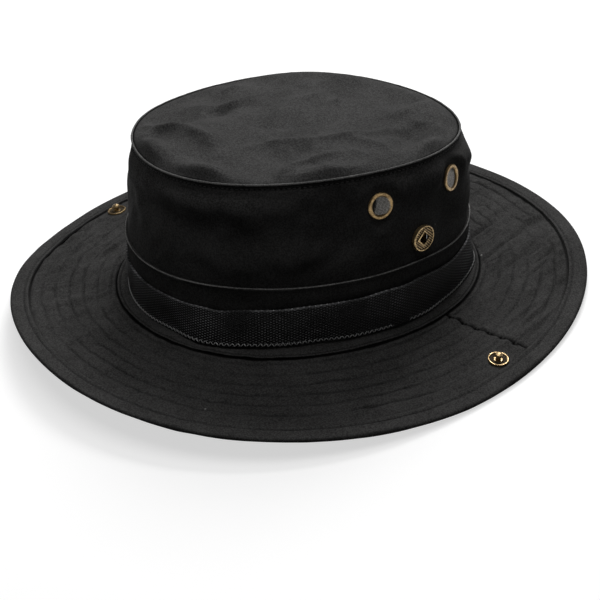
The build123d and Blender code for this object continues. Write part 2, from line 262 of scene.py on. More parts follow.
@dataclass(frozen=True)
class HatForm:
    """Ovals and waves that the cloth follows, about the middle of the crown's foot."""

    foot_half_width: float = 95.2
    foot_half_length: float = 92.7
    foot_skew: float = 0.067
    foot_corner: float = 0.027
    foot_waves: tuple[Wave, ...] = (Wave(1, 3.5, -75), Wave(2, 3.4, -55))
    crown_height: float = 98.7
    top_half_width: float = 95.0
    top_half_length: float = 86.7
    top_shift: tuple[float, float] = (0.8, 9.0)
    seam_waves: tuple[Wave, ...] = (Wave(1, 1.7, -32), Wave(2, 1.3, -16))
    wall_bulge: float = 4.4
    top_dome: float = 2.5
    edge_half_width: float = 174.8
    edge_half_length: float = 173.6
    edge_skew: float = 0.029
    edge_corner: float = 0.016
    edge_drop: float = 4.3
    edge_waves: tuple[Wave, ...] = (Wave(1, 5.2, -113), Wave(2, 5.9, 91), Wave(3, 2.6, 13), Wave(4, 1.7, 43))
    brim_rise: float = 1.1
    hem_rise: float = 1.75
    seam_sag: tuple[tuple[float, float], ...] = (
        (-60, 0.0), (0, 0.0), (25, -0.8), (40, -3.2), (60, -5.0), (80, -6.3), (105, -5.8), (120, -5.6),
        (135, -7.0), (150, -8.8), (165, -8.8), (180, -7.8), (195, -4.4), (210, -1.8), (226, 0.0), (300, 0.0),
    )
    front_sag: Bulge = Bulge(3.4, -64, 36)
    shift: tuple[float, float, float] = (0.0, 0.0, 0.0)

    @staticmethod
    def oval(angle: Array, skew: float, corner: float) -> Array:
        """Share by which an oval's radius departs from an ellipse's."""
        return 1 + skew * np.sin(np.radians(2 * angle)) - corner * np.cos(np.radians(3 * angle))

    def foot(self, angle: Array) -> Array:
        """Points of the crown's foot."""
        scale = self.oval(angle, self.foot_skew, self.foot_corner)
        x = self.foot_half_width * scale * np.cos(np.radians(angle))
        y = self.foot_half_length * scale * np.sin(np.radians(angle))
        return np.stack([x, y, sum(wave.at(angle) for wave in self.foot_waves)], axis=-1)

    def edge(self, angle: Array) -> Array:
        """Points of the brim's edge."""
        scale = self.oval(angle, self.edge_skew, self.edge_corner)
        x = self.edge_half_width * scale * np.cos(np.radians(angle))
        y = self.edge_half_length * scale * np.sin(np.radians(angle))
        return np.stack([x, y, sum(wave.at(angle) for wave in self.edge_waves) - self.edge_drop], axis=-1)

    def sag(self, angle: Array) -> Array:
        """How far the soft top seam has sunk, which is most at the back."""
        places, drops = zip(*self.seam_sag)
        near = [np.interp(angle + turn, places, drops, period=360) for turn in SEAM_BLUR]
        return sum(near) / len(near)

    def brim_width(self, angle: Array) -> Array:
        """Level width of the brim."""
        span = self.edge(angle) - self.foot(angle)
        return np.hypot(span[..., 0], span[..., 1])

    def brim(self, angle: Array, out: Array, rise: Array) -> Array:
        """Points so far out on the brim and so high over the middle of its plies."""
        start = self.foot(angle)
        share = out / self.brim_width(angle)
        points = start + (self.edge(angle) - start) * share[..., None]
        points[..., 2] += rise - self.front_sag.at(angle) * arch(share)
        return points

    def wall(self, angle: Array, height: Array, out: Array) -> Array:
        """Points so high over the foot and so far out from the middle of the wall's cloth."""
        share = height / self.crown_height
        scale = self.oval(angle, self.foot_skew, self.foot_corner)
        swell = self.wall_bulge * 4 * share * (1 - share)
        half_width = self.foot_half_width + (self.top_half_width - self.foot_half_width) * share + swell
        half_length = self.foot_half_length + (self.top_half_length - self.foot_half_length) * share + swell
        x = (half_width * scale + out) * np.cos(np.radians(angle)) + self.top_shift[0] * share
        y = (half_length * scale + out) * np.sin(np.radians(angle)) + self.top_shift[1] * share
        seam = sum(wave.at(angle) for wave in self.seam_waves)
        foot = sum(wave.at(angle) for wave in self.foot_waves)
        return np.stack([x, y, foot + height + share * seam + share**2 * self.sag(angle)], axis=-1)

    def top(self, angle: Array, share: Array) -> Array:
        """Points of the crown's top, a share of the way from its middle to its seam."""
        rim = self.wall(angle, np.full_like(angle, self.crown_height), np.zeros_like(angle))
        x = self.top_shift[0] + (rim[..., 0] - self.top_shift[0]) * share
        y = self.top_shift[1] + (rim[..., 1] - self.top_shift[1]) * share
        tip = self.foot_waves[0].at(angle) + self.seam_waves[0].at(angle)
        lobes = self.foot_waves[1].at(angle) + self.seam_waves[1].at(angle)
        bent = share * tip + share**2 * (lobes + self.sag(angle))
        return np.stack([x, y, self.crown_height + bent + self.top_dome * (1 - share**2)], axis=-1)

    def settled(self, low: Vector, high: Vector) -> "HatForm":
        """The same form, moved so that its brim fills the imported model's box.

        Args:
            low: Lowest corner of the box, in metres.
            high: Highest corner of the box, in metres.

        Returns:
            A form whose seat puts the hat where the frame has it.
        """
        angle = np.arange(0.0, 360.0, 0.5)
        edge = self.brim(angle, self.brim_width(angle), np.full_like(angle, -self.hem_rise))
        middle = (edge.max(axis=0) + edge.min(axis=0)) / 2
        shift = (
            (low.x + high.x) / 2 / MM - middle[0],
            (low.y + high.y) / 2 / MM - middle[1],
            low.z / MM - edge[:, 2].min(),
        )
        return HatForm(shift=tuple(float(value) for value in shift))

    def seat(self, points: Array) -> Array:
        """Points in metres, in the frame."""
        return (points + np.array(self.shift)) * MM


# ---------------------------------------------------------------------------------------------------
# Modelling
# ---------------------------------------------------------------------------------------------------


@dataclass
class Patch:
    """What a surface gives for a cloth grid: its points, and the painted shade each gets in seams, grooves and
    beside raised edges, from 0 to 1.
    """

    points: Array
    seam: Array


Surface = Callable[[Array, Array], Patch]
Line = Callable[[Array], Array]


def select_only(piece: bpy.types.Object) -> None:
    """Make a piece the only selected one, and the active one."""
    bpy.ops.object.select_all(action="DESELECT")
    piece.select_set(True)
    bpy.context.view_layer.objects.active = piece


def edit_all(piece: bpy.types.Object, *steps: Callable[[], object]) -> None:
    """Run edit-mode operators on the whole of a piece."""
    select_only(piece)
    bpy.ops.object.mode_set(mode="EDIT")
    bpy.ops.mesh.select_all(action="SELECT")
    for step in steps:
        step()
    bpy.ops.object.mode_set(mode="OBJECT")


def merge_doubles() -> None:
    """Join the points that lie on each other."""
    bpy.ops.mesh.remove_doubles(threshold=0.002 * MM)


def cloth(form: HatForm, name: str, columns: int, rows: int, surface: Surface) -> bpy.types.Object:
    """Add a grid and lay it on a surface.

    Args:
        form: The hat, which seats the points.
        name: The piece's name.
        columns: Cells along the grid's first side.
        rows: Cells along its second side.
        surface: Gives the patch for shares from 0 to 1 along both sides.

    Returns:
        The piece, with a seam attribute of painted shade and the grid's own UV map.
    """
    bpy.ops.object.select_all(action="DESELECT")
    bpy.ops.mesh.primitive_grid_add(x_subdivisions=columns, y_subdivisions=rows, size=1)
    piece = bpy.context.object
    piece.name = piece.data.name = name
    flat = np.empty(len(piece.data.vertices) * 3)
    piece.data.vertices.foreach_get("co", flat)
    flat = flat.reshape(-1, 3)
    patch = surface(flat[:, 0] + 0.5, flat[:, 1] + 0.5)
    piece.data.vertices.foreach_set("co", form.seat(patch.points).ravel())
    # The seam attribute is painted shade: the finishes darken the colour by it.
    seam = piece.data.attributes.new("seam", "FLOAT", "POINT")
    seam.data.foreach_set("value", np.clip(patch.seam, 0, 1).astype(np.float32))
    edit_all(piece, merge_doubles)
    smooth(piece)
    return piece


def smooth(piece: bpy.types.Object) -> None:
    """Shade a piece smooth."""
    select_only(piece)
    bpy.ops.object.shade_smooth()


def face_centres(piece: bpy.types.Object) -> Array:
    """Middle of each face, in metres."""
    centres = np.empty(len(piece.data.polygons) * 3)
    piece.data.polygons.foreach_get("center", centres)
    return centres.reshape(-1, 3)


def delete_faces(piece: bpy.types.Object, chosen: Array, fill: bool = False) -> None:
    """Delete some of a piece's faces.

    Args:
        piece: The piece.
        chosen: Whether each face goes.
        fill: Whether the open ends that are left are filled.
    """
    select_only(piece)
    bpy.ops.object.mode_set(mode="EDIT")
    bpy.ops.mesh.select_mode(type="FACE")
    bpy.ops.mesh.select_all(action="DESELECT")
    bpy.ops.object.mode_set(mode="OBJECT")
    piece.data.polygons.foreach_set("select", chosen)
    bpy.ops.object.mode_set(mode="EDIT")
    bpy.ops.mesh.delete(type="FACE")
    if fill:
        bpy.ops.mesh.select_all(action="SELECT")
        bpy.ops.mesh.fill_holes(sides=0)
    bpy.ops.object.mode_set(mode="OBJECT")


def thicken(piece: bpy.types.Object, thickness: float) -> None:
    """Give a cloth its thickness, on the side away from its face."""
    select_only(piece)
    ply = piece.modifiers.new("ply", "SOLIDIFY")
    ply.thickness = thickness * MM
    ply.offset = -1
    bpy.ops.object.modifier_apply(modifier=ply.name)


@dataclass(frozen=True)
class Thread:
    """Sewing thread: one stitch is modelled, and copied along a row."""

    length: float = 2.3
    width: float = 0.5
    pitch: float = 3.0
    segments: int = 6
    rings: int = 4

    def stitch(self) -> tuple[Array, Array]:
        """One stitch along X, raised along Z: its points and its faces' corners, as triangles."""
        bpy.ops.object.select_all(action="DESELECT")
        bpy.ops.mesh.primitive_uv_sphere_add(segments=self.segments, ring_count=self.rings, radius=0.5)
        ball = bpy.context.object
        edit_all(ball, lambda: bpy.ops.mesh.quads_convert_to_tris())
        points = np.array([corner.co for corner in ball.data.vertices])
        corners = [tuple(face.vertices) for face in ball.data.polygons]
        faces = np.array(sorted(min((a, b, c), (b, c, a), (c, a, b)) for a, b, c in corners))
        bpy.ops.object.delete()
        return points[:, (2, 0, 1)] * (self.length, self.width, self.width), faces[:, ::-1]

    def sew(self, form: HatForm, name: str, rows: Sequence[tuple[Array, Array]]) -> bpy.types.Object:
        """Lay stitches, end to end with a small gap, along rows.

        Args:
            form: The hat, which seats the points.
            name: The piece's name.
            rows: Pairs of the row's points and the same points a little way out of the cloth.

        Returns:
            One piece with all the stitches.
        """
        placed = []
        for line, lifted in rows:
            runs = np.linalg.norm(np.diff(line, axis=0), axis=1)
            reach = np.concatenate([[0], np.cumsum(runs)])
            starts = np.arange(0, reach[-1] - self.length, self.pitch)

            def along(places: Array, path: Array) -> Array:
                """Points of a path at lengths along the row."""
                return np.stack([np.interp(places, reach, path[:, axis]) for axis in range(3)], axis=-1)

            head, tail = along(starts, line), along(starts + self.length, line)
            placed.append((head, tail, along(starts + self.length / 2, lifted)))
        heads, tails, lifts = (np.concatenate(group) for group in zip(*placed))
        return self.lay(form, name, heads, tails, lifts)

    def lay(self, form: HatForm, name: str, heads: Array, tails: Array, lifts: Array) -> bpy.types.Object:
        """Lay one stitch from each head to its tail, with its back towards its lift."""
        points, faces = self.stitch()
        middle = (heads + tails) / 2
        ahead = (tails - heads) / np.linalg.norm(tails - heads, axis=1, keepdims=True)
        up = lifts - middle
        up -= ahead * (up * ahead).sum(axis=1, keepdims=True)
        up /= np.linalg.norm(up, axis=1, keepdims=True)
        aside = np.cross(up, ahead)
        axes = np.stack([ahead, aside, up], axis=1)
        corners = middle[:, None] + np.einsum("pk,skc->spc", points, axes)
        numbers = faces[None] + (np.arange(len(middle)) * len(points))[:, None, None]
        mesh = bpy.data.meshes.new(name)
        mesh.from_pydata(form.seat(corners.reshape(-1, 3)), [], numbers.reshape(-1, 3).tolist())
        piece = bpy.data.objects.new(name, mesh)
        bpy.context.scene.collection.objects.link(piece)
        smooth(piece)
        return piece


# ---------------------------------------------------------------------------------------------------
# Finishes
# ---------------------------------------------------------------------------------------------------


class Value:
    """Number from a shader socket, which can be used in expressions."""

    def __init__(self, tree: bpy.types.NodeTree, socket: bpy.types.NodeSocket) -> None:
        """Hold the socket and its tree."""
        self.tree = tree
        self.socket = socket

    def maths(self, operation: str, *inputs: object) -> "Value":
        """Value of a Math node whose inputs are values or numbers."""
        node = self.tree.nodes.new("ShaderNodeMath")
        node.operation = operation
        for index, source in enumerate(inputs):
            if isinstance(source, Value):
                self.tree.links.new(source.socket, node.inputs[index])
            else:
                node.inputs[index].default_value = source
        return Value(self.tree, node.outputs[0])

    def __add__(self, other: object) -> "Value":
        """Sum."""
        return self.maths("ADD", self, other)

    __radd__ = __add__

    def __sub__(self, other: object) -> "Value":
        """Difference."""
        return self.maths("SUBTRACT", self, other)

    def __rsub__(self, other: object) -> "Value":
        """Difference from a number."""
        return self.maths("SUBTRACT", other, self)

    def __mul__(self, other: object) -> "Value":
        """Product."""
        return self.maths("MULTIPLY", self, other)

    __rmul__ = __mul__

    def __pow__(self, other: object) -> "Value":
        """Power."""
        return self.maths("POWER", self, other)

    def sine(self) -> "Value":
        """Sine, of radians."""
        return self.maths("SINE", self)

    def size(self) -> "Value":
        """Size without its sign."""
        return self.maths("ABSOLUTE", self)

    def least(self, other: object) -> "Value":
        """The lower of two."""
        return self.maths("MINIMUM", self, other)

    def most(self, other: object) -> "Value":
        """The higher of two."""
        return self.maths("MAXIMUM", self, other)

    def between(self, low: float, high: float) -> "Value":
        """Smooth step from 0 at low to 1 at high, or back where low is the higher."""
        node = self.tree.nodes.new("ShaderNodeMapRange")
        node.interpolation_type = "SMOOTHSTEP"
        self.tree.links.new(self.socket, node.inputs["Value"])
        node.inputs["From Min"].default_value = low
        node.inputs["From Max"].default_value = high
        return Value(self.tree, node.outputs[0])


class Recipe:
    """Material that is being mixed."""

    def __init__(self, name: str) -> None:
        """Start a material with one shader."""
        self.material = bpy.data.materials.new(name)
        self.material.use_nodes = True
        self.tree = self.material.node_tree
        self.tree.nodes.clear()
        self.surface = self.node("ShaderNodeBsdfPrincipled")
        output = self.node("ShaderNodeOutputMaterial")
        self.tree.links.new(self.surface.outputs[0], output.inputs["Surface"])

    def node(
        self, kind: str, settings: dict[str, object] | None = None, inputs: dict[object, object] | None = None
    ) -> bpy.types.Node:
        """Add a node.

        Args:
            kind: The node's type.
            settings: Its properties, which are set first.
            inputs: What its sockets take: values, sockets or expressions.

        Returns:
            The node.
        """
        node = self.tree.nodes.new(kind)
        for key, value in (settings or {}).items():
            setattr(node, key, value)
        for key, source in (inputs or {}).items():
            self.feed(node.inputs[key], source)
        return node

    def feed(self, socket: bpy.types.NodeSocket, source: object) -> None:
        """Set a socket to a value, or link it to a socket or an expression."""
        if isinstance(source, Value):
            self.tree.links.new(source.socket, socket)
        elif isinstance(source, bpy.types.NodeSocket):
            self.tree.links.new(source, socket)
        else:
            socket.default_value = source

    def value(self, socket: bpy.types.NodeSocket) -> Value:
        """Expression that starts at a socket."""
        return Value(self.tree, socket)

    def place(self, kind: str) -> bpy.types.NodeSocket:
        """Texture coordinates of a kind."""
        return self.node("ShaderNodeTexCoord").outputs[kind]

    def vector(self, operation: str, output: int, *inputs: object) -> bpy.types.NodeSocket:
        """Output of a Vector Math node."""
        node = self.node("ShaderNodeVectorMath", {"operation": operation}, dict(enumerate(inputs)))
        return node.outputs[output]

    def noise(self, scale: float, detail: float = 2.0) -> Value:
        """Noise on Object coordinates, with so many lumps to the metre."""
        inputs = {"Vector": self.place("Object"), "Scale": scale, "Detail": detail}
        return self.value(self.node("ShaderNodeTexNoise", {}, inputs).outputs["Fac"])

    def uv(self) -> tuple[Value, Value]:
        """The piece's own UV map, as two values."""
        split = self.node("ShaderNodeSeparateXYZ", {}, {0: self.place("UV")})
        return self.value(split.outputs[0]), self.value(split.outputs[1])

    def attribute(self, name: str) -> Value:
        """Value of a mesh attribute."""
        return self.value(self.node("ShaderNodeAttribute", {"attribute_name": name}).outputs["Fac"])

    def mix(self, low: object, high: object, share: object) -> bpy.types.NodeSocket:
        """Colour between two colours."""
        node = self.node("ShaderNodeMix", {"data_type": "RGBA"}, {0: share})
        for socket, colour in ((node.inputs[6], low), (node.inputs[7], high)):
            self.feed(socket, colour if isinstance(colour, bpy.types.NodeSocket) else (*colour, 1.0))
        return node.outputs[2]

    def bump(self, height: Value, depth: float, under: object = None) -> bpy.types.NodeSocket:
        """Normal that a height field of so many millimetres gives, over another normal."""
        inputs: dict[object, object] = {"Height": height, "Strength": 1.0, "Distance": depth * MM}
        if under is not None:
            inputs["Normal"] = under
        return self.node("ShaderNodeBump", {}, inputs).outputs[0]

    def dress(self, **sockets: object) -> bpy.types.Material:
        """Set the surface's sockets by name, with _ for a space, and give the material."""
        for key, source in sockets.items():
            self.feed(self.surface.inputs[key.replace("_", " ")], source)
        return self.material


@dataclass(frozen=True)
class DrillFinish:
    """Black cotton drill: a fine weave with a dusty bloom, painted shade in its seams and grooves, with a few
    flecks of lint.
    """

    name: str
    colour: Colour = (0.046, 0.0452, 0.0445)
    shades: tuple[float, float] = (0.5, 1.5)
    # Near-black colour of the painted shade in seams, grooves and under raised edges.
    painted_shade_colour: Colour = (0.0015, 0.0015, 0.0015)
    lint_colour: Colour = (0.30, 0.30, 0.29)
    lint_edges: tuple[float, float] = (0.024, 0.012)
    lint_strength: float = 0.8
    lint_spacing: float = 34.0
    roughness: float = 0.6
    roughness_range: float = 0.16
    gloss: float = 0.008
    rib_columns: float = 900.0
    rib_rows: float = 120.0
    rib_depth: float = 0.05
    soft_depth: float = 0.22
    clouds: float = 38.0
    blotches: float = 420.0
    grains: float = 1150.0
    fibres: float = 2600.0
    dimples: float = 260.0

    def material(self) -> bpy.types.Material:
        """Mix the material."""
        recipe = Recipe(self.name)
        mottle = recipe.noise(self.clouds, 4.0) * 0.6 + recipe.noise(self.blotches, 2.0) * 0.4
        grain = recipe.noise(self.grains, 1.0).between(0.32, 0.68) * 0.6 + mottle.between(0.3, 0.7) * 0.4
        dark, light = (tuple(shade * part for part in self.colour) for shade in self.shades)
        wear_and_highlight = recipe.mix(dark, light, grain)
        # Painted shade: the seam attribute darkens the colour towards near black.
        seam_shaded = recipe.mix(wear_and_highlight, self.painted_shade_colour, recipe.attribute("seam"))
        spacing = {"Vector": recipe.place("Object"), "Scale": 1 / (self.lint_spacing * MM)}
        spots = recipe.value(recipe.node("ShaderNodeTexVoronoi", {}, spacing).outputs["Distance"])
        colour = recipe.mix(seam_shaded, self.lint_colour, spots.between(*self.lint_edges) * self.lint_strength)
        around, across = recipe.uv()
        warp = (around * (self.rib_columns * 2 * pi)).sine()
        weft = (across * (self.rib_rows * 2 * pi)).sine()
        weave = recipe.bump(warp * weft * 0.5 + recipe.noise(self.fibres, 3.0) * 1.2, self.rib_depth)
        soft = recipe.bump(recipe.noise(self.dimples, 3.0), self.soft_depth, weave)
        roughness = self.roughness + (mottle - 0.5) * self.roughness_range
        recipe.dress(Base_Color=colour, Roughness=roughness, Normal=soft)
        return recipe.dress(Specular_IOR_Level=self.gloss)


@dataclass(frozen=True)
class WebbingFinish:
    """Coarse black webbing, whose threads show as staggered rows of pale dots, painted as highlights on the
    black thread.
    """

    name: str = "webbing_weave"
    gap_colour: Colour = (0.001, 0.001, 0.001)
    # Painted highlight on the black threads, not their own colour.
    thread_glint_colour: Colour = (0.36, 0.36, 0.37)
    dots_round: float = 179.0
    dots_across: float = 14.0
    dot_edges: tuple[float, float] = (0.5, 0.97)
    selvedge: tuple[float, float] = (0.955, 0.985)
    depth: float = 0.5
    roughness: float = 0.5
    gloss: float = 0.25

    def material(self) -> bpy.types.Material:
        """Mix the material."""
        recipe = Recipe(self.name)
        around, across = recipe.uv()
        round_turn, across_turn = around * (self.dots_round * pi), across * (self.dots_across * pi)
        lattice = (round_turn + across_turn).sine() * (round_turn - across_turn).sine()
        dots = lattice.size().between(*self.dot_edges)
        uneven = recipe.noise(150.0, 3.0).between(0.3, 0.75)
        # Painted highlight: the weave's dots and the loose selvedge are painted pale, as glints.
        edge = across.between(*self.selvedge) * (0.35 + 0.65 * dots)
        lit = dots.most(edge) * (0.45 + uneven * 0.75)
        woven = recipe.mix(self.gap_colour, self.thread_glint_colour, lit)
        # Painted shade: the seam attribute darkens the webbing to black.
        return recipe.dress(
            Base_Color=recipe.mix(woven, self.gap_colour, recipe.attribute("seam")),
            Roughness=self.roughness + uneven * 0.1,
            Normal=recipe.bump(dots + recipe.noise(1800.0) * 0.25, self.depth),
            Specular_IOR_Level=self.gloss,
        )


@dataclass(frozen=True)
class ThreadFinish:
    """Twisted sewing thread."""

    name: str
    colour: Colour
    roughness: float = 0.6

    def material(self) -> bpy.types.Material:
        """Mix the material."""
        recipe = Recipe(self.name)
        uneven = recipe.noise(900.0, 2.0)
        dark = tuple(0.6 * part for part in self.colour)
        colour = recipe.mix(dark, self.colour, uneven)
        normal = recipe.bump((recipe.noise(5200.0) * 6).sine(), 0.03)
        return recipe.dress(Base_Color=colour, Roughness=self.roughness + uneven * 0.1, Normal=normal)


@dataclass(frozen=True)
class Spindle:
    """Axis that a round fitting is turned about: a point on it and its way out of the cloth."""

    middle: Vector
    outward: Vector
    top: float

    @staticmethod
    def through(nodes: dict[str, bpy.types.Object], outer: str, inner: str) -> "Spindle":
        """Axis through two CAD nodes, from the inner one to the outer one, in the outer one's middle."""
        middles = [sum(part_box(node), Vector()) / 2 for node in (outer, inner)]
        outward = (middles[0] - middles[1]).normalized()
        solid = nodes[outer]
        heights = [(solid.matrix_world @ corner.co - middles[0]) @ outward for corner in solid.data.vertices]
        return Spindle(middles[0], outward, max(heights) / MM)

    def measures(self, recipe: Recipe) -> tuple[Value, Value, bpy.types.NodeSocket]:
        """Distance from the axis and height along it, both in millimetres, and the place from the middle."""
        local = recipe.vector("SUBTRACT", 0, recipe.place("Object"), self.middle)
        height = recipe.value(recipe.vector("DOT_PRODUCT", 1, local, self.outward))
        length = recipe.value(recipe.vector("LENGTH", 1, local))
        radius = (length * length - height * height).most(0.0) ** 0.5
        return radius * (1 / MM), height * (1 / MM), local


@dataclass(frozen=True)
class BrassFinish:
    """Antique brass: pale where it is rubbed, dark brown where polish doesn't reach."""

    name: str
    spindle: Spindle
    dark_from: float = 20.0
    dark_to: float = 21.0
    hatched: bool = False
    rubbed: Colour = (0.52, 0.38, 0.20)
    aged: Colour = (0.14, 0.09, 0.045)
    black: Colour = (0.012, 0.010, 0.008)
    edge_fades: tuple[float, float] = (0.25, 0.1)
    hatch_pitch: float = 1.3
    hatch_depth: float = 0.2
    hatch_slope: float = 0.9
    sunk_by: tuple[float, float] = (0.15, 0.35)
    metallic: float = 0.9
    roughness: float = 0.3
    gloss: float = 0.12

    def grooves(self, recipe: Recipe, local: bpy.types.NodeSocket) -> Value:
        """Slanting grooves across the fitting's face."""
        level = Vector((0, 0, 1)).cross(self.spindle.outward).normalized()
        slant = (level + Vector((0, 0, self.hatch_slope))).normalized()
        along = recipe.value(recipe.vector("DOT_PRODUCT", 1, local, slant))
        return (along * (2 * pi / (self.hatch_pitch * MM))).sine().between(-0.4, 0.6)

    def material(self) -> bpy.types.Material:
        """Mix the material."""
        recipe = Recipe(self.name)
        radius, height, local = self.spindle.measures(recipe)
        patina = recipe.noise(900.0, 4.0).between(0.36, 0.66)
        wide, narrow = self.edge_fades
        inside = radius.between(self.dark_from - wide, self.dark_from + narrow)
        recess = inside * (1.0 - radius.between(self.dark_to - narrow, self.dark_to + wide))
        colour = recipe.mix(self.rubbed, self.aged, patina * 0.75)
        normal = recipe.bump(recipe.noise(1500.0, 3.0), 0.03)
        if self.hatched:
            sunk = recess * height.between(*(self.spindle.top - depth for depth in self.sunk_by))
            groove = self.grooves(recipe, local) * sunk
            colour = recipe.mix(colour, self.aged, sunk * 0.6)
            colour = recipe.mix(colour, self.black, groove * 0.9)
            normal = recipe.bump(1.0 - groove, self.hatch_depth, normal)
            dull = 0.0
        else:
            colour = recipe.mix(colour, self.black, recess * 0.92)
            dull = recess
        return recipe.dress(
            Base_Color=colour,
            Metallic=self.metallic - dull * self.metallic,
            Roughness=self.roughness + patina * 0.18 + dull * 0.4,
            Normal=normal,
            Specular_IOR_Level=self.gloss,
        )


@dataclass(frozen=True)
class WireFinish:
    """Pale wire of the vents' screens and the sockets' springs."""

    name: str = "vent_screen_wire"
    colour: Colour = (0.62, 0.60, 0.57)

    def material(self) -> bpy.types.Material:
        """Mix the material."""
        recipe = Recipe(self.name)
        grain = recipe.noise(1400.0, 3.0)
        colour = recipe.mix(tuple(0.55 * part for part in self.colour), self.colour, grain.between(0.3, 0.6))
        normal = recipe.bump(grain, 0.08)
        return recipe.dress(Base_Color=colour, Metallic=0.85, Roughness=0.34 + grain * 0.1, Normal=normal)


class Dye(Enum):
    """Colours of thread."""

    BLACK = (0.0045, 0.0045, 0.0045)
    GREY = (0.65, 0.65, 0.65)


def paint(piece: bpy.types.Object, material: bpy.types.Material) -> None:
    """Give a piece one material."""
    piece.data.materials.clear()
    piece.data.materials.append(material)


# ---------------------------------------------------------------------------------------------------
# Sub-assemblies
# ---------------------------------------------------------------------------------------------------


@dataclass
class Flap:
    """One side of the brim that folds up: its side, and where the fold begins and ends."""

    side: str
    sign: int
    fold_start: float
    fold_end: float

    def bend(self, piece: bpy.types.Object, joints: Sequence[dict]) -> None:
        """Bake a piece's placement into its mesh."""
        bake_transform(piece)


FLAPS = (Flap("right", 1, -6.0, 9.0), Flap("left", -1, -9.0, 12.0))


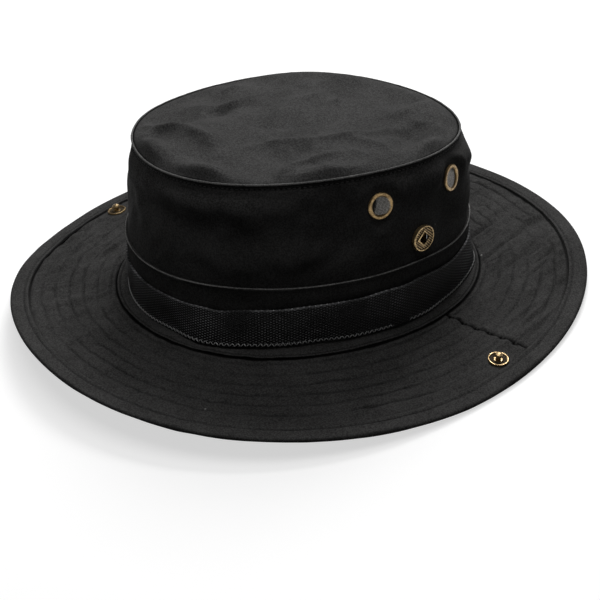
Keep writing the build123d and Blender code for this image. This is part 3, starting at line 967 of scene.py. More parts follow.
@dataclass
class Brim:
    """Quilted brim with its hem, its collar, its side seams and their stitches."""

    form: HatForm
    joints: Sequence[dict]
    columns: int = 600
    rows: int = 210
    hem_rows: int = 40
    collar_rows: int = 36
    top_rows: float = 0.72
    tuck: float = 3.0
    edge_gap: float = 1.2
    collar_width: float = 12.4
    collar_cloth: float = 0.5
    collar_tuck: float = 1.6
    collar_fold: float = 0.92
    collar_marks: tuple[Mark, ...] = (Mark(0.35, -0.5, 0.6), Mark(-0.35, -1.7, 0.45))
    collar_shade: Mark = Mark(0.6, -1.7, 0.45)
    hem_width: float = 11.6
    hem_cloth: float = 0.6
    hem_stitches: float = 2.8
    hem_marks: tuple[Mark, ...] = (Mark(0.35, 0.9, 0.8), Mark(-0.30, 2.8, 0.55))
    hem_shade: Mark = Mark(0.45, 2.8, 0.5)
    hem_join: float = 75.9
    hem_join_reach: float = 172.0
    join_cut: Mark = Mark(-0.55, 0, 0.7)
    join_shade: Mark = Mark(0.8, 0, 0.5)
    quilt_rows: int = 6
    first_row: float = 17.0
    row_pitch: float = 8.5
    quilt_start: float = 3.0
    quilt_stop: tuple[float, float] = (3.5, 0.5)
    groove_depth: float = 0.7
    groove_width: float = 0.75
    groove_shade: float = 0.42
    collar_shadow: Mark = Mark(1.5, 0.6, 0.8)
    hem_shadow: Mark = Mark(1.4, -0.5, 0.75)
    puff: float = 0.5
    pucker: float = 0.5
    grain: float = 1.9
    grain_floor: float = 0.25
    grainy: tuple[Bulge, ...] = (Bulge(0.8, 198, 38), Bulge(0.75, 50, 30))
    side_seams: tuple[float, float] = (7.0, 173.0)
    seam_scallop: float = 1.5
    seam_middle: float = 0.6
    seam_cut: tuple[Mark, ...] = (Mark(-1.3, 0, 0.8), Mark(0.6, -2.6, 2.2), Mark(0.2, 2.4, 2.0))
    seam_shade: Mark = Mark(2.2, 0, 1.0)
    stud_clear: tuple[float, float] = (7.0, 15.0)
    under_seeds: int = 20
    trim_colour: Colour = (0.049, 0.0482, 0.0475)
    strays: tuple[Ripple, ...] = (Ripple(0.5, 60, 1 / 1.7, 4), Ripple(0.2, 160, 1 / 2.3, 9))
    puckers: tuple[Ripple, ...] = (Ripple(0.6, 260, 1 / 2.6, 10), Ripple(0.7, 120, 1 / 1.3, 11))
    mean_plumpness: float = 0.75
    plumpness: Ripple = Ripple(0.5, 40, 1 / 2.1, 12)
    mean_wear: float = 0.62
    wear: tuple[Ripple, ...] = (Ripple(0.55, 34, 2, 13), Ripple(0.35, 150, 1, 14))
    slow_ripple: Ripple = Ripple(0.9, 22, 60, 8)
    hem_ripples: tuple[Ripple, ...] = (Ripple(0.22, 120, 7, 21), Ripple(0.30, 44, 12, 22))
    collar_ripples: tuple[Ripple, ...] = (Ripple(0.35, 60, 9, 41), Ripple(0.15, 170, 6, 42))
    thread: Thread = field(default_factory=lambda: Thread(length=2.1, width=0.34, pitch=2.9))
    hem_thread: Thread = field(default_factory=lambda: Thread(length=2.4, width=0.4, pitch=3.1))

    def free(self, points: Array) -> Array:
        """Share by which the cloth is free to rise, which is nought under the studs."""
        held = np.zeros_like(points[..., 0])
        for flap in FLAPS:
            middle = np.array(sum(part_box(f"{flap.side}_stud"), Vector()) / 2) / MM - np.array(self.form.shift)
            away = np.hypot(points[..., 0] - middle[0], points[..., 1] - middle[1])
            held = np.maximum(held, 1 - step_up(away, *self.stud_clear))
        return 1 - held

    @staticmethod
    def turned(around: Array) -> Array:
        """Angles of shares of a turn, which starts at the back and runs by way of the right side."""
        return 450 - 360 * around

    def flat(self, angle: Array, out: Array) -> Array:
        """Points of the plain brim, without any relief."""
        return self.form.brim(angle, out, np.zeros_like(angle))

    @staticmethod
    def streaks(points: Array) -> Array:
        """Wrinkles that run along the cloth's own grain, from front to back."""
        x, y = points[..., 0], points[..., 1]
        bend = crumple(x / 30, y / 40, 5)
        long, short = crumple(x / 8 + bend, y / 46, 6), crumple(x / 4.2, y / 22, 7)
        return 0.9 - 2.6 * np.abs(long) + 0.8 * short

    def relief(self, angle: Array, out: Array, under: bool) -> tuple[Array, Array]:
        """Height of the quilting over the plain ply, and the painted shade of each point in grooves and seams
        and beyond raised edges.
        """
        other = self.under_seeds if under else 0
        row = (out - self.first_row) / self.row_pitch + 1
        number, band = np.clip(np.round(row), 1, self.quilt_rows), np.floor(row)
        apart = np.abs((row - number) * self.row_pitch - total(self.strays, angle, number))
        inner, outer = self.collar_width, self.form.brim_width(angle) - self.hem_width
        stop = outer - self.quilt_stop[0], outer + self.quilt_stop[1]
        quilted = plateau(out, (inner, inner + self.quilt_start), stop)
        groove, swell = hump(apart, self.groove_width) * quilted, arch(row - band)
        fine = total(self.puckers, angle, row, other)
        plump = self.mean_plumpness + self.plumpness.at(angle, band, other)
        wear_and_highlight = np.clip(self.mean_wear + total(self.wear, angle, row, other), 0.1, 1)
        points = self.flat(angle, out)
        rise = swell * quilted * (self.puff * plump * wear_and_highlight + self.pucker * fine)
        grainy = self.grain * (self.grain_floor + total(self.grainy, angle))
        rise += grainy * quilted * self.streaks(points) * (0.6 + 0.4 * swell)
        rise -= self.groove_depth * groove * wear_and_highlight
        rise = rise * self.free(points) + self.broad(angle, out)
        # Painted shadows beyond the collar's edge and the hem's inner edge, and painted shade in the grooves.
        border = self.collar_shadow.at(out - inner) * self.collar_shadow_strength(angle)
        border = np.maximum(border, self.hem_shadow.at(out - outer) * self.hem_lift(angle))
        seam = np.maximum(self.groove_shade * groove * wear_and_highlight, border)
        for place in self.side_seams:
            cut, dark = self.side_seam(angle, out, row, place)
            rise += cut
            seam = np.maximum(seam, dark)
        return rise, seam

    @staticmethod
    def collar_shadow_strength(angle: Array) -> Array:
        """Strength round the hat of the painted shadow beyond the collar's edge."""
        return 0.75 + 0.25 * np.cos(np.radians(angle + 50))

    @staticmethod
    def hem_lift(angle: Array) -> Array:
        """Share by which the hem's inner edge stands off the brim, which is little in front."""
        return 0.08 + 0.92 * step_up(np.abs(turn_apart(angle, -48)), 60, 115)

    def side_seam(self, angle: Array, out: Array, row: Array, place: float) -> tuple[Array, Array]:
        """Scalloped seam across the quilting: its cut with a soft swell beside it, and its painted shade."""
        reach = np.hypot(*np.moveaxis(self.flat(angle, out)[..., :2], -1, 0))
        across = np.radians(turn_apart(angle, place)) * reach
        across = across - self.seam_scallop * (np.abs(np.sin(pi * row)) - self.seam_middle)
        outer = self.form.brim_width(angle) - self.hem_width
        along = plateau(out, (self.collar_width, self.collar_width + 1), (outer - 1.5, outer))
        return total(self.seam_cut, across) * along, self.seam_shade.at(across) * along

    def shell(self, around: Array, along: Array) -> Patch:
        """Both faces of the quilted plies, from the tuck out to the edge and back underneath."""
        angle = self.turned(around)
        under = along > self.top_rows
        share = np.where(under, (1 - along) / (1 - self.top_rows), along / self.top_rows)
        out = -self.tuck + (self.form.brim_width(angle) - self.edge_gap + self.tuck) * share
        tops, top_seam = self.relief(angle, out, False)
        bottoms, bottom_seam = self.relief(angle, out, True)
        edge = plateau(share, (0.0, 0.02), (0.985, 1.0))
        upper = self.form.brim_rise + tops * edge
        lower = -self.form.brim_rise - (bottoms - 2 * self.broad(angle, out)) * edge
        rise = np.where(share <= 0, 0.0, np.where(under, lower, upper))
        return Patch(self.form.brim(angle, out, rise), np.where(under, bottom_seam, top_seam))

    def broad(self, angle: Array, out: Array) -> Array:
        """Slow ripple of the brim, which the hem follows too."""
        held = self.free(self.flat(angle, out))
        return self.slow_ripple.at(angle, out) * step_up(out, 10, 60) * held

    def hem(self, around: Array, along: Array) -> Patch:
        """Binding folded over the edge, from its inner edge on top to its inner edge underneath."""
        angle = self.turned(around)
        width = self.form.brim_width(angle)
        half = self.form.hem_rise
        flat = self.hem_width - half
        length = 2 * flat + pi * half
        reach = along * length
        turn = np.clip((reach - flat) / half, 0, pi)
        out = np.where(reach < flat, width - self.hem_width + reach, width - half + half * np.sin(turn))
        out = np.where(reach > length - flat, width - half - (reach - (length - flat)), out)
        rise, flatness = half * np.cos(turn), np.abs(np.cos(turn))
        side = np.sign(rise + 1e-9)
        inner = out - (width - self.hem_width)
        lip = step_up(inner, 0.0, 0.7)
        off_join = np.radians(turn_apart(angle, self.hem_join)) * self.hem_join_reach
        lift = total(self.hem_marks, inner) + total(self.hem_ripples, angle, inner) * lip
        lift += self.join_cut.at(off_join)
        lift -= (0.35 + 0.8 * self.hem_lift(angle)) * (1 - lip)
        rise = rise + side * lift * flatness + self.broad(angle, out)
        # Painted shade under the hem's raised inner edge, stronger where it stands off more, and along its
        # stitches and at the join.
        dark = (1 - step_up(inner, 0.0, 0.35)) * self.hem_lift(angle)
        dark = np.maximum(dark, self.hem_shade.at(inner))
        dark = np.maximum(dark, self.join_shade.at(off_join) * flatness)
        return Patch(self.form.brim(angle, out, rise), dark * flatness)

    def collar(self, around: Array, along: Array) -> Patch:
        """Smooth ring over the brim's inner edge, its outer edge turned under."""
        angle = self.turned(around)
        reach, tuck, fold = self.collar_width, self.collar_tuck, self.collar_fold
        out = np.where(along < fold, -tuck + (reach + tuck) * along / fold, reach)
        drop = np.clip((along - fold) / (1 - fold), 0, 1)
        waves = total(self.collar_ripples, angle, out) * step_up(out, 0, 4)
        marks = total(self.collar_marks, out - reach)
        rise = self.form.hem_rise + 0.35 + waves + marks - 1.3 * drop
        # Painted shade where the outer edge turns under, and along its edge stitching.
        dark = np.maximum(step_up(drop, 0.15, 0.4), self.collar_shade.at(out - reach))
        return Patch(self.form.brim(angle, out, rise), dark)

    def halves(self, ring: bpy.types.Object, kind: str) -> dict[str, bpy.types.Object]:
        """Split a ring front and back into two halves that keep its smooth shading.

        Args:
            ring: The whole ring, which is used up.
            kind: What the halves are called after their side.

        Returns:
            The halves by side, with their cut ends filled.
        """
        normals = np.empty(len(ring.data.vertices) * 3, np.float32)
        ring.data.vertices.foreach_get("normal", normals)
        ring.data.attributes.new("rest_normal", "FLOAT_VECTOR", "POINT").data.foreach_set("vector", normals)
        pieces = {}
        for flap in FLAPS:
            half = ring.copy()
            half.data = ring.data.copy()
            half.name = half.data.name = f"{flap.side}_{kind}"
            bpy.context.scene.collection.objects.link(half)
            aside = face_centres(half)[:, 0] - self.form.shift[0] * MM
            delete_faces(half, aside * flap.sign < 0, fill=True)
            kept = np.empty(len(half.data.vertices) * 3, np.float32)
            half.data.attributes["rest_normal"].data.foreach_get("vector", kept)
            half.data.normals_split_custom_set_from_vertices(kept.reshape(-1, 3).tolist())
            half.data.attributes.remove(half.data.attributes["rest_normal"])
            flap.bend(half, self.joints)
            pieces[flap.side] = half
        bpy.data.objects.remove(ring)
        return pieces

    def row(self, flap: Flap, out: Line, rise: Callable[[Array, Array], Array]) -> tuple[Array, Array]:
        """Points of a row of stitches on one half of the brim, and the same points lifted."""
        middle = 0 if flap.sign > 0 else 180
        angle = np.linspace(middle - HALF_ROW, middle + HALF_ROW, ROW_POINTS)
        reach = out(angle)
        height = rise(angle, reach)
        return self.form.brim(angle, reach, height), self.form.brim(angle, reach, height + 1)

    def stitch_rows(self, flap: Flap) -> list[tuple[Array, Array]]:
        """Rows of quilting stitches of one half."""

        def rise(angle: Array, reach: Array) -> Array:
            """Height of the bottom of the groove."""
            return self.form.brim_rise + self.relief(angle, reach, False)[0] + 0.05

        rows = []
        for number in range(1, self.quilt_rows + 1):

            def out(angle: Array, number: int = number) -> Array:
                """Distance out of this row."""
                stray = total(self.strays, angle, np.full_like(angle, number))
                return self.first_row + self.row_pitch * (number - 1) + stray

            rows.append(self.row(flap, out, rise))
        return rows

    def edge_rows(self, flap: Flap) -> list[tuple[Array, Array]]:
        """Rows of stitches of one half along the hem, above and below."""

        def out(angle: Array) -> Array:
            """Distance out of the hem's stitches."""
            return self.form.brim_width(angle) - self.hem_width + self.hem_stitches

        def over(angle: Array, reach: Array) -> Array:
            """Height of the stitches on top."""
            return self.form.hem_rise - 0.2 + self.broad(angle, reach)

        def below(angle: Array, reach: Array) -> Array:
            """Height of the stitches underneath."""
            return -self.form.hem_rise + 0.2 + self.broad(angle, reach)

        top, under = self.row(flap, out, over), self.row(flap, out, below)
        return [top, (under[0], 2 * under[0] - under[1])]

    def build(self) -> None:
        """Model the brim, in a half for each flap."""
        form = self.form
        drill = DrillFinish("brim_drill", rib_columns=1400, rib_rows=260).material()
        edging = DrillFinish("brim_trim_drill", colour=self.trim_colour, rib_columns=1400, rib_rows=30)
        trim = edging.material()
        black = ThreadFinish("brim_thread", Dye.BLACK.value).material()
        ring = cloth(form, "brim_ring", self.columns, self.rows, self.shell)
        for side, half in self.halves(ring, "brim_quilt").items():
            paint(half, drill)
            kinds = ("upper", "stiffener", "lining")
            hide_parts(*[f"{side}_flap_{kind}" for kind in kinds])
            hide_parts(*[f"brim_{zone}_{kind}" for zone in ("front", "back") for kind in kinds])
        ring = cloth(form, "hem_ring", self.columns, self.hem_rows, self.hem)
        thicken(ring, self.hem_cloth)
        for side, half in self.halves(ring, "brim_hem_binding").items():
            paint(half, trim)
            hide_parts(f"{side}_flap_hem", "brim_front_hem", "brim_back_hem")
        ring = cloth(form, "collar_ring", self.columns, self.collar_rows, self.collar)
        thicken(ring, self.collar_cloth)
        for half in self.halves(ring, "brim_collar_ring").values():
            paint(half, trim)
            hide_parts("brim_collar")
        for flap in FLAPS:
            for kind, thread, rows in (
                ("quilting_stitches", self.thread, self.stitch_rows(flap)),
                ("hem_stitches", self.hem_thread, self.edge_rows(flap)),
            ):
                stitches = thread.sew(form, f"{flap.side}_{kind}", rows)
                paint(stitches, black)
                flap.bend(stitches, self.joints)
        LOG.info("brim: shell, hem, collar and stitches on both sides")


@dataclass
class Crown:
    """Wall, top panel, top seam, lower band, and the linings inside."""

    form: HatForm
    nodes: dict[str, bpy.types.Object]
    socket_hole: float = 5.2
    socket_reach: float = 12.0
    wall_half: float = 0.6
    wall_foot: float = 1.6
    band_height: float = 38.6
    band_stand: float = 1.15
    band_fold: float = 0.9
    band_tuck: float = 2.4
    band_roll: Mark = Mark(0.75, 0.5, 0.75)
    seam_inset: float = 2.4
    ridge_radius: float = 0.62
    fold_radius: float = 0.36
    tape_drop: float = 1.4
    tape_height: float = 9.0
    sweatband_height: float = 32.0
    # Painted light: the top panel is the same drill as the wall, painted lighter where it faces the lamps.
    lit_top_colour: Colour = (0.056, 0.0553, 0.0547)
    # Painted highlight: the top seam's ridge is the same black drill, painted lighter.
    ridge_highlight_colour: Colour = (0.12, 0.119, 0.117)
    # Painted highlight: the band's folded edge is the same black drill, painted pale.
    fold_highlight_colour: Colour = (0.20, 0.197, 0.194)
    lining_colour: Colour = (0.018, 0.018, 0.018)
    creases: tuple[Crease, ...] = (
        Crease(((-6, -50), (4, -34), (13, -23), (30, -8), (44, 10), (54, 31), (58, 44)), 1.9, 4.2),
        Crease(((-85, -38), (-59, -36), (-24, -38), (-4, -47)), 2.2, 5.0),
        Crease(((-68, -54), (-65, -38), (-45, -34)), 1.8, 3.6),
        Crease(((48, -60), (47, -43), (51, -28), (56, -14)), 3.0, 4.2),
        Crease(((42, 48), (48, 61), (49, 79)), 2.2, 4.6),
        Crease(((74, 58), (87, 48)), 1.8, 3.0),
        Crease(((-57, -2), (-48, 10), (-45, 21), (-45, 31)), 2.0, 4.2),
        Crease(((-9, 4), (-16, 25), (-15, 36), (-12, 48)), 1.6, 4.0),
        Crease(((1, 44), (4, 50)), 1.2, 2.6),
        Crease(((45, 9), (60, 10), (73, 10)), 1.1, 3.6),
        Crease(((50, -4), (63, -6), (74, -2)), 1.0, 3.4),
        Crease(((-42, 6), (-48, -2), (-56, -13)), -2.0, 5.0),
        Crease(((62, 56), (66, 44), (74, 28)), -3.2, 7.5),
        Crease(((-62, 36), (-71, 23)), 1.6, 4.0),
        Crease(((-20, -10), (0, -4), (14, 12), (20, 34)), -1.3, 8.0),
        Crease(((20, 60), (34, 70)), -1.4, 7.0),
        Crease(((-36, 40), (-24, 62)), 1.2, 7.0),
        Crease(((-80, -6), (-62, 0), (-50, -14)), 1.2, 7.0),
    )
    crease_scale: float = 1.9
    rolls: tuple[Bulge, ...] = (
        Bulge(5.6, -122, 13), Bulge(6.4, -88, 13), Bulge(4.4, -38, 16), Bulge(5.4, 14, 10),
        Bulge(1.5, -160, 10), Bulge(1.2, 60, 18), Bulge(1.5, 110, 25),
    )
    roll_back: Mark = Mark(1.0, 0.92, 0.085)
    fittings: tuple[tuple[float, float], ...] = (
        (0, 53), (185, 53), (18.2, 79.6), (-18.2, 79.6), (161.8, 79.6), (198.2, 79.6),
    )
    fitting_radius: float = 98.0
    fitting_clear: tuple[float, float] = (8.5, 17.0)
    drift: Ripple = Ripple(1.0, 7, 60, 50)
    slack: Ripple = Ripple(2.0, 11, 40, 51)
    bunches: tuple[Ripple, ...] = (Ripple(2.6, 22, 17, 52), Ripple(0.6, 62, 9, 53))
    nap: Ripple = Ripple(0.07, 220, 3, 54)
    front: Bulge = Bulge(1.0, -90, 30)
    waist: Mark = Mark(-2.0, 68, 10)
    shoulder: Mark = Mark(1.0, 86, 7.5)
    seam_groove: Mark = Mark(-0.55, 0, 0.8)
    seam_shade: Mark = Mark(0.8, 0, 0.55)
    top_folds: Ripple = Ripple(0.6, 44, 1 / 2, 65)
    edge_ripple: Ripple = Ripple(0.9, 16, 1, 81)
    band_ripples: tuple[Ripple, ...] = (Ripple(0.8, 26, 14, 82), Ripple(0.14, 90, 6, 83))
    seam_thread: Thread = field(default_factory=lambda: Thread(length=2.2, width=0.6, pitch=3.0))

    def free(self, angle: Array, height: Array) -> Array:
        """Share by which the wall's cloth is free to crease, which is nought under the fittings."""
        held = np.zeros_like(angle)
        for place, level in self.fittings:
            away = np.hypot(np.radians(turn_apart(angle, place)) * self.fitting_radius, height - level)
            held = np.maximum(held, 1 - step_up(away, *self.fitting_clear))
        return 1 - held

    def off_seam(self, height: Array) -> Array:
        """Height over the stitches of the top seam."""
        return height - (self.form.crown_height - self.seam_inset)

    def wall_relief(self, angle: Array, height: Array) -> Array:
        """How far the wall's cloth stands out from its plain form."""
        drift, front = self.drift.at(angle, height), self.front.at(angle)
        relief = self.slack.at(angle, height, slide=drift) + self.nap.at(angle, height)
        relief += sum(bunch.at(angle, height, lift=drift) for bunch in self.bunches)
        relief += self.waist.at(height) * front
        roll = (0.7 + 4.4 * front) * self.shoulder.at(height) * (1 - step_up(height, 89, 98.6))
        creased = relief * plateau(height, (38, 52), (90, 98)) + roll
        return creased * self.free(angle, height) + self.seam_groove.at(self.off_seam(height))

    def wall(self, around: Array, along: Array) -> Patch:
        """Outer face of the wall, from its foot to the top seam."""
        angle = 360 * around
        height = self.wall_foot + (self.form.crown_height - self.wall_foot) * np.sin(pi / 2 * along)
        out = self.wall_half + self.wall_relief(angle, height)
        # Painted shade along the seam's stitches and at the wall's top edge under the ridge.
        seam = np.maximum(self.seam_shade.at(self.off_seam(height)), step_up(height, 97.4, 98.2))
        return Patch(self.form.wall(angle, height, out), seam)

    def panel(self, across: Array, along: Array) -> Patch:
        """Top panel: a square of cloth drawn out to the oval, with its creases and dents."""
        a, b = 2 * across - 1, 2 * along - 1
        x, y = a * np.sqrt(1 - b**2 / 2), b * np.sqrt(1 - a**2 / 2)
        share, angle = np.hypot(x, y), np.degrees(np.arctan2(y, x))
        points = self.form.top(angle, share)
        warps = [2.2 * crumple(points[:, 0] / 16, points[:, 1] / 16, seed) for seed in (66, 67)]
        px, py = points[:, 0] + warps[0], points[:, 1] + warps[1]
        rise = self.crease_scale * sum(crease.rise(px, py) for crease in self.creases)
        rise += 2.6 * crumple(px / 34, py / 34, 61) + 1.1 * crumple(px / 15 + 0.3 * py / 15, py / 12, 62)
        rise += 0.3 * crumple(px / 7, py / 7, 63) + 0.06 * crumple(px / 2.6, py / 2.6, 64)
        rise += self.top_folds.at(angle, share) * step_up(share, 0.7, 0.95)
        rise *= 1 - step_up(share, 0.88, 1.0)
        behind, ahead = self.roll_back.at(share), 1 - step_up(share, 0.935, 1.0)
        rise += total(self.rolls, angle) * np.where(share < self.roll_back.place, behind, ahead)
        points[:, 2] += rise + 0.7 * (1 - step_up(share, 0.975, 1.0))
        # Painted shade at the panel's rim, where it turns down into the seam.
        return Patch(points, 0.9 * step_up(share, 0.986, 0.997))

    def piping(self, angle: Array, turn: Array, height: Array, out: float, radius: Array) -> Patch:
        """Thin roll of cloth round the crown."""
        points = self.form.wall(angle, height + radius * np.sin(turn), out + radius * np.cos(turn))
        return Patch(points, np.zeros_like(angle))

    def ridge(self, around: Array, along: Array) -> Patch:
        """Thin roll of turned-in cloth along the top seam."""
        angle = 360 * around
        radius = self.ridge_radius + Ripple(0.08, 160, 1, 71).at(angle)
        return self.piping(angle, 2 * pi * along, self.form.crown_height + 0.25, 0.75, radius)

    def fold(self, around: Array, along: Array) -> Patch:
        """Thin roll along the lower band's folded edge."""
        angle = 360 * around
        radius = self.fold_radius + Ripple(0.12, 90, 1, 84).at(angle)
        return self.piping(angle, 2 * pi * along, self.band_edge(angle), self.wall_half + 1.5, radius)

    def band_edge(self, angle: Array) -> Array:
        """Height of the lower band's upper edge."""
        return self.band_height + self.edge_ripple.at(angle)

    def band(self, around: Array, along: Array) -> Patch:
        """Smooth band round the foot of the wall, its upper edge turned in."""
        angle = 360 * around
        top, fold = self.band_edge(angle), self.band_fold
        height = np.where(along < fold, self.wall_foot + (top - self.wall_foot) * along / fold, top)
        roll = self.band_roll.at(top - height)
        waves = total(self.band_ripples, angle, height) * step_up(height, 24, 32)
        tuck = self.band_tuck * step_up(along, fold, 1.0)
        out = self.wall_half + self.band_stand + roll + waves - tuck
        # Painted shade where the upper edge tucks in under its fold.
        return Patch(self.form.wall(angle, height, out), step_up(along, 0.955, 1.0))

    def inner_ring(self, low: float, high: float, out: float, seed: int) -> Surface:
        """Puckered ring of cloth inside the crown, facing inwards."""

        def surface(around: Array, along: Array) -> Patch:
            """Points of the ring."""
            angle = 360 - 360 * around
            height = low + (high - low) * along
            pucker = Ripple(0.15, 120, 12, seed).at(angle, height)
            edges = 0.3 * (hump(height - low, 0.8) + hump(height - high, 0.8))
            # Painted shade along a line 2 mm in from each edge, where the ring is stitched.
            seam = 0.5 * (hump(height - low - 2, 0.5) + hump(height - high + 2, 0.5))
            dent = np.minimum(self.wall_relief(angle, height), 0)
            return Patch(self.form.wall(angle, height, out + dent + pucker - edges), seam)

        return surface

    def seam_row(self) -> tuple[Array, Array]:
        """Points of the stitches along the top seam, and the same points lifted."""
        angle = np.linspace(0, 360, 2 * ROW_POINTS)
        level = np.full_like(angle, self.form.crown_height - self.seam_inset)
        reach = self.wall_half + self.wall_relief(angle, level) + 0.1
        return self.form.wall(angle, level, reach), self.form.wall(angle, level, reach + 1)

    def punch(self, wall: bpy.types.Object) -> None:
        """Cut a hole in the wall's cloth under each socket, whose plate hides the hole's edge."""
        centres = face_centres(wall)
        inside = np.zeros(len(centres), bool)
        for side in ("right", "left"):
            spindle = Spindle.through(self.nodes, f"{side}_socket", f"{side}_socket_cap")
            away, axis = centres - np.array(spindle.middle), np.array(spindle.outward)
            along = away @ axis
            aside = np.linalg.norm(away - along[:, None] * axis, axis=1)
            inside |= (aside < self.socket_hole * MM) & (np.abs(along) < self.socket_reach * MM)
        delete_faces(wall, inside)

    def build(self) -> None:
        """Model the crown's cloth."""
        form, tape_top = self.form, self.form.crown_height - self.tape_drop
        wall = DrillFinish("crown_drill", rib_rows=150).material()
        # Painted light: the top panel's drill is a lighter, lit copy of the wall's.
        top = DrillFinish("lit_top_drill", colour=self.lit_top_colour, rib_columns=260, rib_rows=260).material()
        # Painted highlight: the ridge's material is the black drill painted lighter.
        piping = DrillFinish("ridge_highlight_drill", colour=self.ridge_highlight_colour, rib_rows=6).material()
        # Painted highlight: the material of the band's fold is the black drill painted pale.
        wear_and_highlight = DrillFinish("fold_highlight_drill", colour=self.fold_highlight_colour, rib_rows=6).material()
        lining = DrillFinish("lining_drill", colour=self.lining_colour, rib_rows=40).material()
        sweatband = self.inner_ring(self.wall_foot, self.sweatband_height, -0.85, 91)
        tape = self.inner_ring(tape_top - self.tape_height, tape_top, -0.75, 92)
        walls = ("crown_wall_front", "crown_wall_back")
        for name, columns, rows, surface, thickness, material, slot, nodes in (
            ("crown_wall_cloth", 460, 72, self.wall, 2 * self.wall_half, wall, "cotton_drill", walls),
            ("crown_top_panel", 150, 150, self.panel, 1.0, top, "cotton_drill", ("crown_top",)),
            ("top_seam_ridge", 540, 10, self.ridge, 0.0, piping, "cotton_drill", ()),
            ("lower_band_cloth", 460, 40, self.band, 0.7, wall, "cotton_drill", ("lower_band",)),
            ("lower_band_fold", 540, 8, self.fold, 0.0, wear_and_highlight, "cotton_drill", ()),
            ("sweatband_cloth", 460, 30, sweatband, 0.9, lining, "lining_tape", ("sweatband",)),
            ("top_seam_tape_cloth", 460, 12, tape, 0.45, lining, "lining_tape", ("top_seam_tape",)),
        ):
            piece = cloth(form, name, columns, rows, surface)
            if surface == self.wall:
                self.punch(piece)
            if thickness:
                thicken(piece, thickness)
            paint(piece, material)
            if nodes:
                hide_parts(*nodes)
            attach(piece, "hat")
            LOG.info("crown: %s", name)
        stitches = self.seam_thread.sew(form, "top_seam_stitches", [self.seam_row()])
        paint(stitches, ThreadFinish("crown_thread", Dye.BLACK.value).material())
        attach(stitches, "hat")


@dataclass
class Webbing:
    """Webbing round the crown, with its zigzag stitches and its join."""

    form: HatForm
    foot: float = 2.35
    height: float = 26.8
    inner: float = 1.5
    cloth: float = 1.1
    face: float = 1.4
    join: float = -14.4
    edge_ripples: tuple[Ripple, ...] = (Ripple(2.0, 12, 1, 101), Ripple(0.6, 40, 1, 102))
    edge_bulges: tuple[Bulge, ...] = (Bulge(-2.2, -76, 7), Bulge(2.5, -2, 14))
    looseness: Ripple = Ripple(1.0, 13, 1, 103)
    foot_ripple: Ripple = Ripple(1.0, 26, 1, 104)
    foot_bulges: tuple[Bulge, ...] = (Bulge(3.2, -80, 15), Bulge(5.5, 43, 11))
    pinch: Mark = Mark(-0.6, 0, 1.1)
    join_shade: Mark = Mark(0.8, -1.4, 0.5)
    mean_shading: float = 0.3
    shading: Ripple = Ripple(0.9, 36, 1 / 1.6, 105)
    zigzag: Thread = field(default_factory=lambda: Thread(length=2.5, width=0.6, pitch=1.7))
    zigzag_turn: float = 0.95
    zigzag_heights: tuple[float, float] = (0.1, 2.4)

    def upper_edge(self, angle: Array) -> Array:
        """Height of the loose upper edge."""
        return self.height + total(self.edge_ripples, angle) + total(self.edge_bulges, angle)

    def stand(self, angle: Array, share: Array) -> Array:
        """How far the webbing stands off the band, most at its loose edges."""
        loose = np.maximum(self.looseness.at(angle), -0.25) * 1.9 + 0.5
        foot = 1.6 + self.foot_ripple.at(angle) + total(self.foot_bulges, angle)
        return loose * share**1.5 + foot * (1 - share) ** 1.4

    def strip(self, around: Array, along: Array) -> Patch:
        """Outer face of the webbing."""
        angle = 360 * around
        height = self.foot + (self.upper_edge(angle) - self.foot) * along
        join = turn_apart(angle, self.join)
        lap = 0.5 * plateau(join, (-1.6, -1.2), (8, 10)) + self.pinch.at(join)
        out = self.inner + self.face + self.stand(angle, along) + lap
        # Painted shadow at the join's edge and over the stretch past it, and painted shading at random along
        # the strip.
        dark = np.maximum(self.join_shade.at(join), 0.75 * plateau(join, (1, 9), (30, 44)))
        dark = np.maximum(dark, np.clip(self.mean_shading + self.shading.at(angle, along), 0, 0.8))
        return Patch(self.form.wall(angle, height, out), dark)

    def zigzag_ends(self) -> tuple[Array, Array, Array]:
        """Heads, tails and lifts of the zigzag stitches along the lower edge."""
        angle = np.linspace(0, 360, int(360 / self.zigzag_turn) + 1)[:-1]
        low, high = self.zigzag_heights
        over = np.where(np.arange(len(angle)) % 2 == 0, low, high)
        out = self.inner + self.face + 0.15 + self.stand(angle, over / self.height)
        heads = self.form.wall(angle, self.foot + over, out)
        lifted = self.form.wall(angle, self.foot + over, out + 2)
        return heads, np.roll(heads, -1, axis=0), (lifted + np.roll(lifted, -1, axis=0)) / 2

    def build(self) -> None:
        """Model the webbing and its stitches."""
        strip = cloth(self.form, "webbing_strip", 720, 24, self.strip)
        thicken(strip, self.cloth)
        paint(strip, WebbingFinish().material())
        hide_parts("webbing_band", "webbing_tack")
        stitches = self.zigzag.lay(self.form, "webbing_zigzag_stitches", *self.zigzag_ends())
        paint(stitches, ThreadFinish("zigzag_thread", Dye.GREY.value).material())
        for piece in (strip, stitches):
            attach(piece, "hat")
        LOG.info("webbing: strip and zigzag stitches")


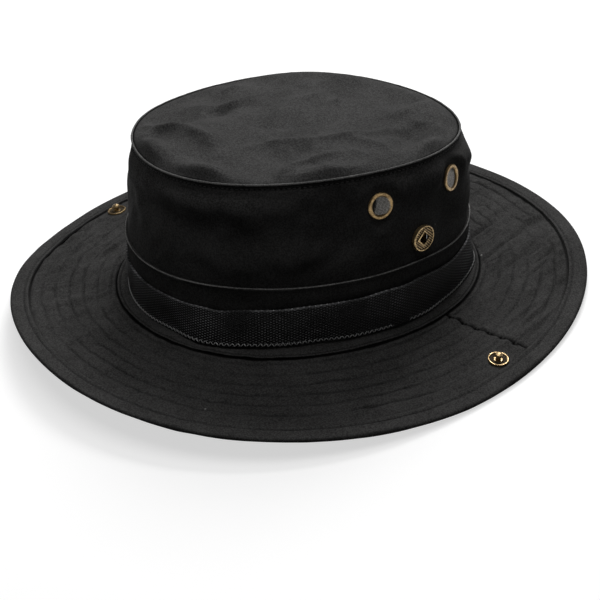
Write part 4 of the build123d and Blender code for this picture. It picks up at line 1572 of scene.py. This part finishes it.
@dataclass
class Fittings:
    """Studs, sockets and vents, which keep their CAD shapes; the vents get woven screens."""

    form: HatForm
    nodes: dict[str, bpy.types.Object]
    wire: Thread = field(default_factory=lambda: Thread(length=1.12, width=0.4, pitch=0.82))
    knob_radius: float = 2.6
    stud_rim: float = 5.0
    socket_rim: float = 7.2
    vent_bore: float = 6.3
    vent_rubbed: Colour = (0.36, 0.25, 0.12)
    spring_colour: Colour = (0.5, 0.5, 0.5)

    def screen(self, vent: str, spindle: Spindle) -> bpy.types.Object:
        """Weave a vent's screen of fine wire.

        Args:
            vent: The vent's name.
            spindle: The vent's axis.

        Returns:
            The screen, in the place of the CAD one.
        """
        middle = sum(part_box(f"{vent}_screen"), Vector()) / 2
        outward = np.array(spindle.outward)
        level = np.array(spindle.outward.cross(Vector((0, 0, 1))).normalized())
        upright = np.cross(level, outward)
        reach = int(self.vent_bore / self.wire.pitch) + 1
        across, up = np.meshgrid(np.arange(-reach, reach + 1), np.arange(-reach, reach + 1))
        inside = np.hypot(across, up) * self.wire.pitch < self.vent_bore
        across, up = across[inside], up[inside]
        places = np.array(middle) / MM - np.array(self.form.shift)
        places = places + self.wire.pitch * (across[:, None] * level + up[:, None] * upright)
        run = np.where(((across + up) % 2 == 0)[:, None], level, upright) * self.wire.length / 2
        woven = self.wire.lay(self.form, f"{vent}_wire_screen", places - run, places + run, places + outward)
        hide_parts(f"{vent}_screen")
        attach(woven, "hat")
        return woven

    def build(self) -> None:
        """Give each fitting its finish."""
        steel = WireFinish("spring_wire", self.spring_colour).material()
        screen = WireFinish().material()
        for side in ("right", "left"):
            stud = Spindle.through(self.nodes, f"{side}_stud", f"{side}_stud_cap")
            socket = Spindle.through(self.nodes, f"{side}_socket", f"{side}_socket_cap")
            finishes = {
                "stud": BrassFinish(f"{side}_stud_brass", stud, self.knob_radius, self.stud_rim),
                "stud_cap": BrassFinish(f"{side}_cap_brass", stud),
                "socket": BrassFinish(f"{side}_socket_brass", socket, 0.0, self.socket_rim, hatched=True),
                "socket_cap": BrassFinish(f"{side}_inner_brass", socket),
            }
            for kind, finish in finishes.items():
                paint(self.nodes[f"{side}_{kind}"], finish.material())
            paint(self.nodes[f"{side}_socket_springs"], steel)
            for end in ("front", "back"):
                vent = Spindle.through(self.nodes, f"{side}_{end}_vent_ring", f"{side}_{end}_vent_washer")
                brass = BrassFinish(f"{side}_{end}_vent_brass", vent, rubbed=self.vent_rubbed).material()
                paint(self.nodes[f"{side}_{end}_vent_ring"], brass)
                paint(self.nodes[f"{side}_{end}_vent_washer"], brass)
                woven = self.screen(f"{side}_{end}_vent", vent)
                paint(woven, screen)
        LOG.info("fittings: finishes of the studs, sockets and vents")


@dataclass(frozen=True)
class Lamp:
    """Soft square lamp."""

    name: str
    place: tuple[float, float, float]
    size: float
    power: float

    def hang(self, target: Vector) -> None:
        """Add the lamp, and aim it at a target."""
        bpy.ops.object.light_add(type="AREA", location=self.place)
        lamp = bpy.context.object
        lamp.name = self.name
        lamp.data.size = self.size
        lamp.data.energy = self.power
        lamp.rotation_euler = (target - Vector(self.place)).to_track_quat("-Z", "Y").to_euler()


@dataclass
class Studio:
    """Pale floor, soft light from above, and the camera."""

    azimuth: float = 43.28
    elevation: float = 33.39
    roll: float = -5.63
    distance: float = 1120.9
    aim: tuple[float, float, float] = (21.85, -18.95, 8.37)
    lens: float = 109.872
    sensor: float = 36.0
    clip: tuple[float, float] = (0.01, 50.0)
    floor_size: float = 12.0
    air: float = 0.05
    lamps: tuple[Lamp, ...] = (
        Lamp("window_lamp", (-0.405, 0.94, 1.16), 0.7, 17.5),
        Lamp("overhead_lamp", (0.05, 0.0, 1.56), 1.2, 8.5),
    )
    lit_height: float = 0.06
    paper_seen: float = 0.55
    paper_glow: float = 0.62
    paper_unseen: float = 0.08

    def paper(self) -> bpy.types.Material:
        """White paper of the floor, which throws little light back on the hat."""
        material = bpy.data.materials.new("floor_paper")
        material.use_nodes = True
        tree = material.node_tree
        tree.nodes.clear()
        seen, unseen = tree.nodes.new("ShaderNodeBsdfDiffuse"), tree.nodes.new("ShaderNodeBsdfDiffuse")
        seen.inputs["Color"].default_value = (self.paper_seen,) * 3 + (1,)
        unseen.inputs["Color"].default_value = (self.paper_unseen,) * 3 + (1,)
        glow = tree.nodes.new("ShaderNodeEmission")
        glow.inputs["Strength"].default_value = self.paper_glow
        both, mix = tree.nodes.new("ShaderNodeAddShader"), tree.nodes.new("ShaderNodeMixShader")
        path = tree.nodes.new("ShaderNodeLightPath")
        rays = [Value(tree, path.outputs[f"Is {kind} Ray"]) for kind in ("Camera", "Glossy", "Transmission")]
        tree.links.new((rays[0] + rays[1] + rays[2]).least(1.0).socket, mix.inputs[0])
        tree.links.new(seen.outputs[0], both.inputs[0])
        tree.links.new(glow.outputs[0], both.inputs[1])
        tree.links.new(unseen.outputs[0], mix.inputs[1])
        tree.links.new(both.outputs[0], mix.inputs[2])
        output = tree.nodes.new("ShaderNodeOutputMaterial")
        tree.links.new(mix.outputs[0], output.inputs["Surface"])
        return material

    def camera(self) -> None:
        """Aim the camera at the hat."""
        turn, tilt = radians(self.azimuth), radians(self.elevation)
        back = Vector((sin(turn) * cos(tilt), -cos(turn) * cos(tilt), sin(tilt)))
        right = Vector((cos(turn), sin(turn), 0))
        up = back.cross(right)
        lean = radians(self.roll)
        across, upright = right * cos(lean) + up * sin(lean), up * cos(lean) - right * sin(lean)
        bpy.ops.object.camera_add()
        camera = bpy.context.object
        camera.data.sensor_width, camera.data.lens = self.sensor, self.lens
        camera.data.clip_start, camera.data.clip_end = self.clip
        place = Vector(self.aim) * MM + back * self.distance * MM
        turned = Matrix((across, upright, back)).transposed().to_4x4()
        camera.matrix_world = Matrix.Translation(place) @ turned
        bpy.context.scene.camera = camera

    def build(self) -> None:
        """Set up the floor, the light and the camera."""
        bpy.ops.object.select_all(action="DESELECT")
        bpy.ops.mesh.primitive_plane_add(size=self.floor_size)
        floor = bpy.context.object
        floor.name = "floor"
        paint(floor, self.paper())
        floor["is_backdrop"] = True
        world = bpy.data.worlds.new("studio_air")
        world.use_nodes = True
        world.node_tree.nodes["Background"].inputs["Color"].default_value = (1, 1, 1, 1)
        world.node_tree.nodes["Background"].inputs["Strength"].default_value = self.air
        bpy.context.scene.world = world
        for lamp in self.lamps:
            lamp.hang(Vector((0, 0, self.lit_height)))
        bpy.context.scene.view_settings.view_transform = "Standard"
        self.camera()
        LOG.info("studio: floor, lamps and camera")


def main() -> None:
    """Load the frame and dress it, sub-assembly by sub-assembly."""
    logging.basicConfig(level=logging.INFO, format="%(message)s")
    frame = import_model()
    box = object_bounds()
    form = HatForm().settled(*box)
    Studio().build()
    Brim(form, frame["joints"]).build()
    Crown(form, frame["nodes"]).build()
    Webbing(form).build()
    Fittings(form, frame["nodes"]).build()


if __name__ == "__main__":
    main()
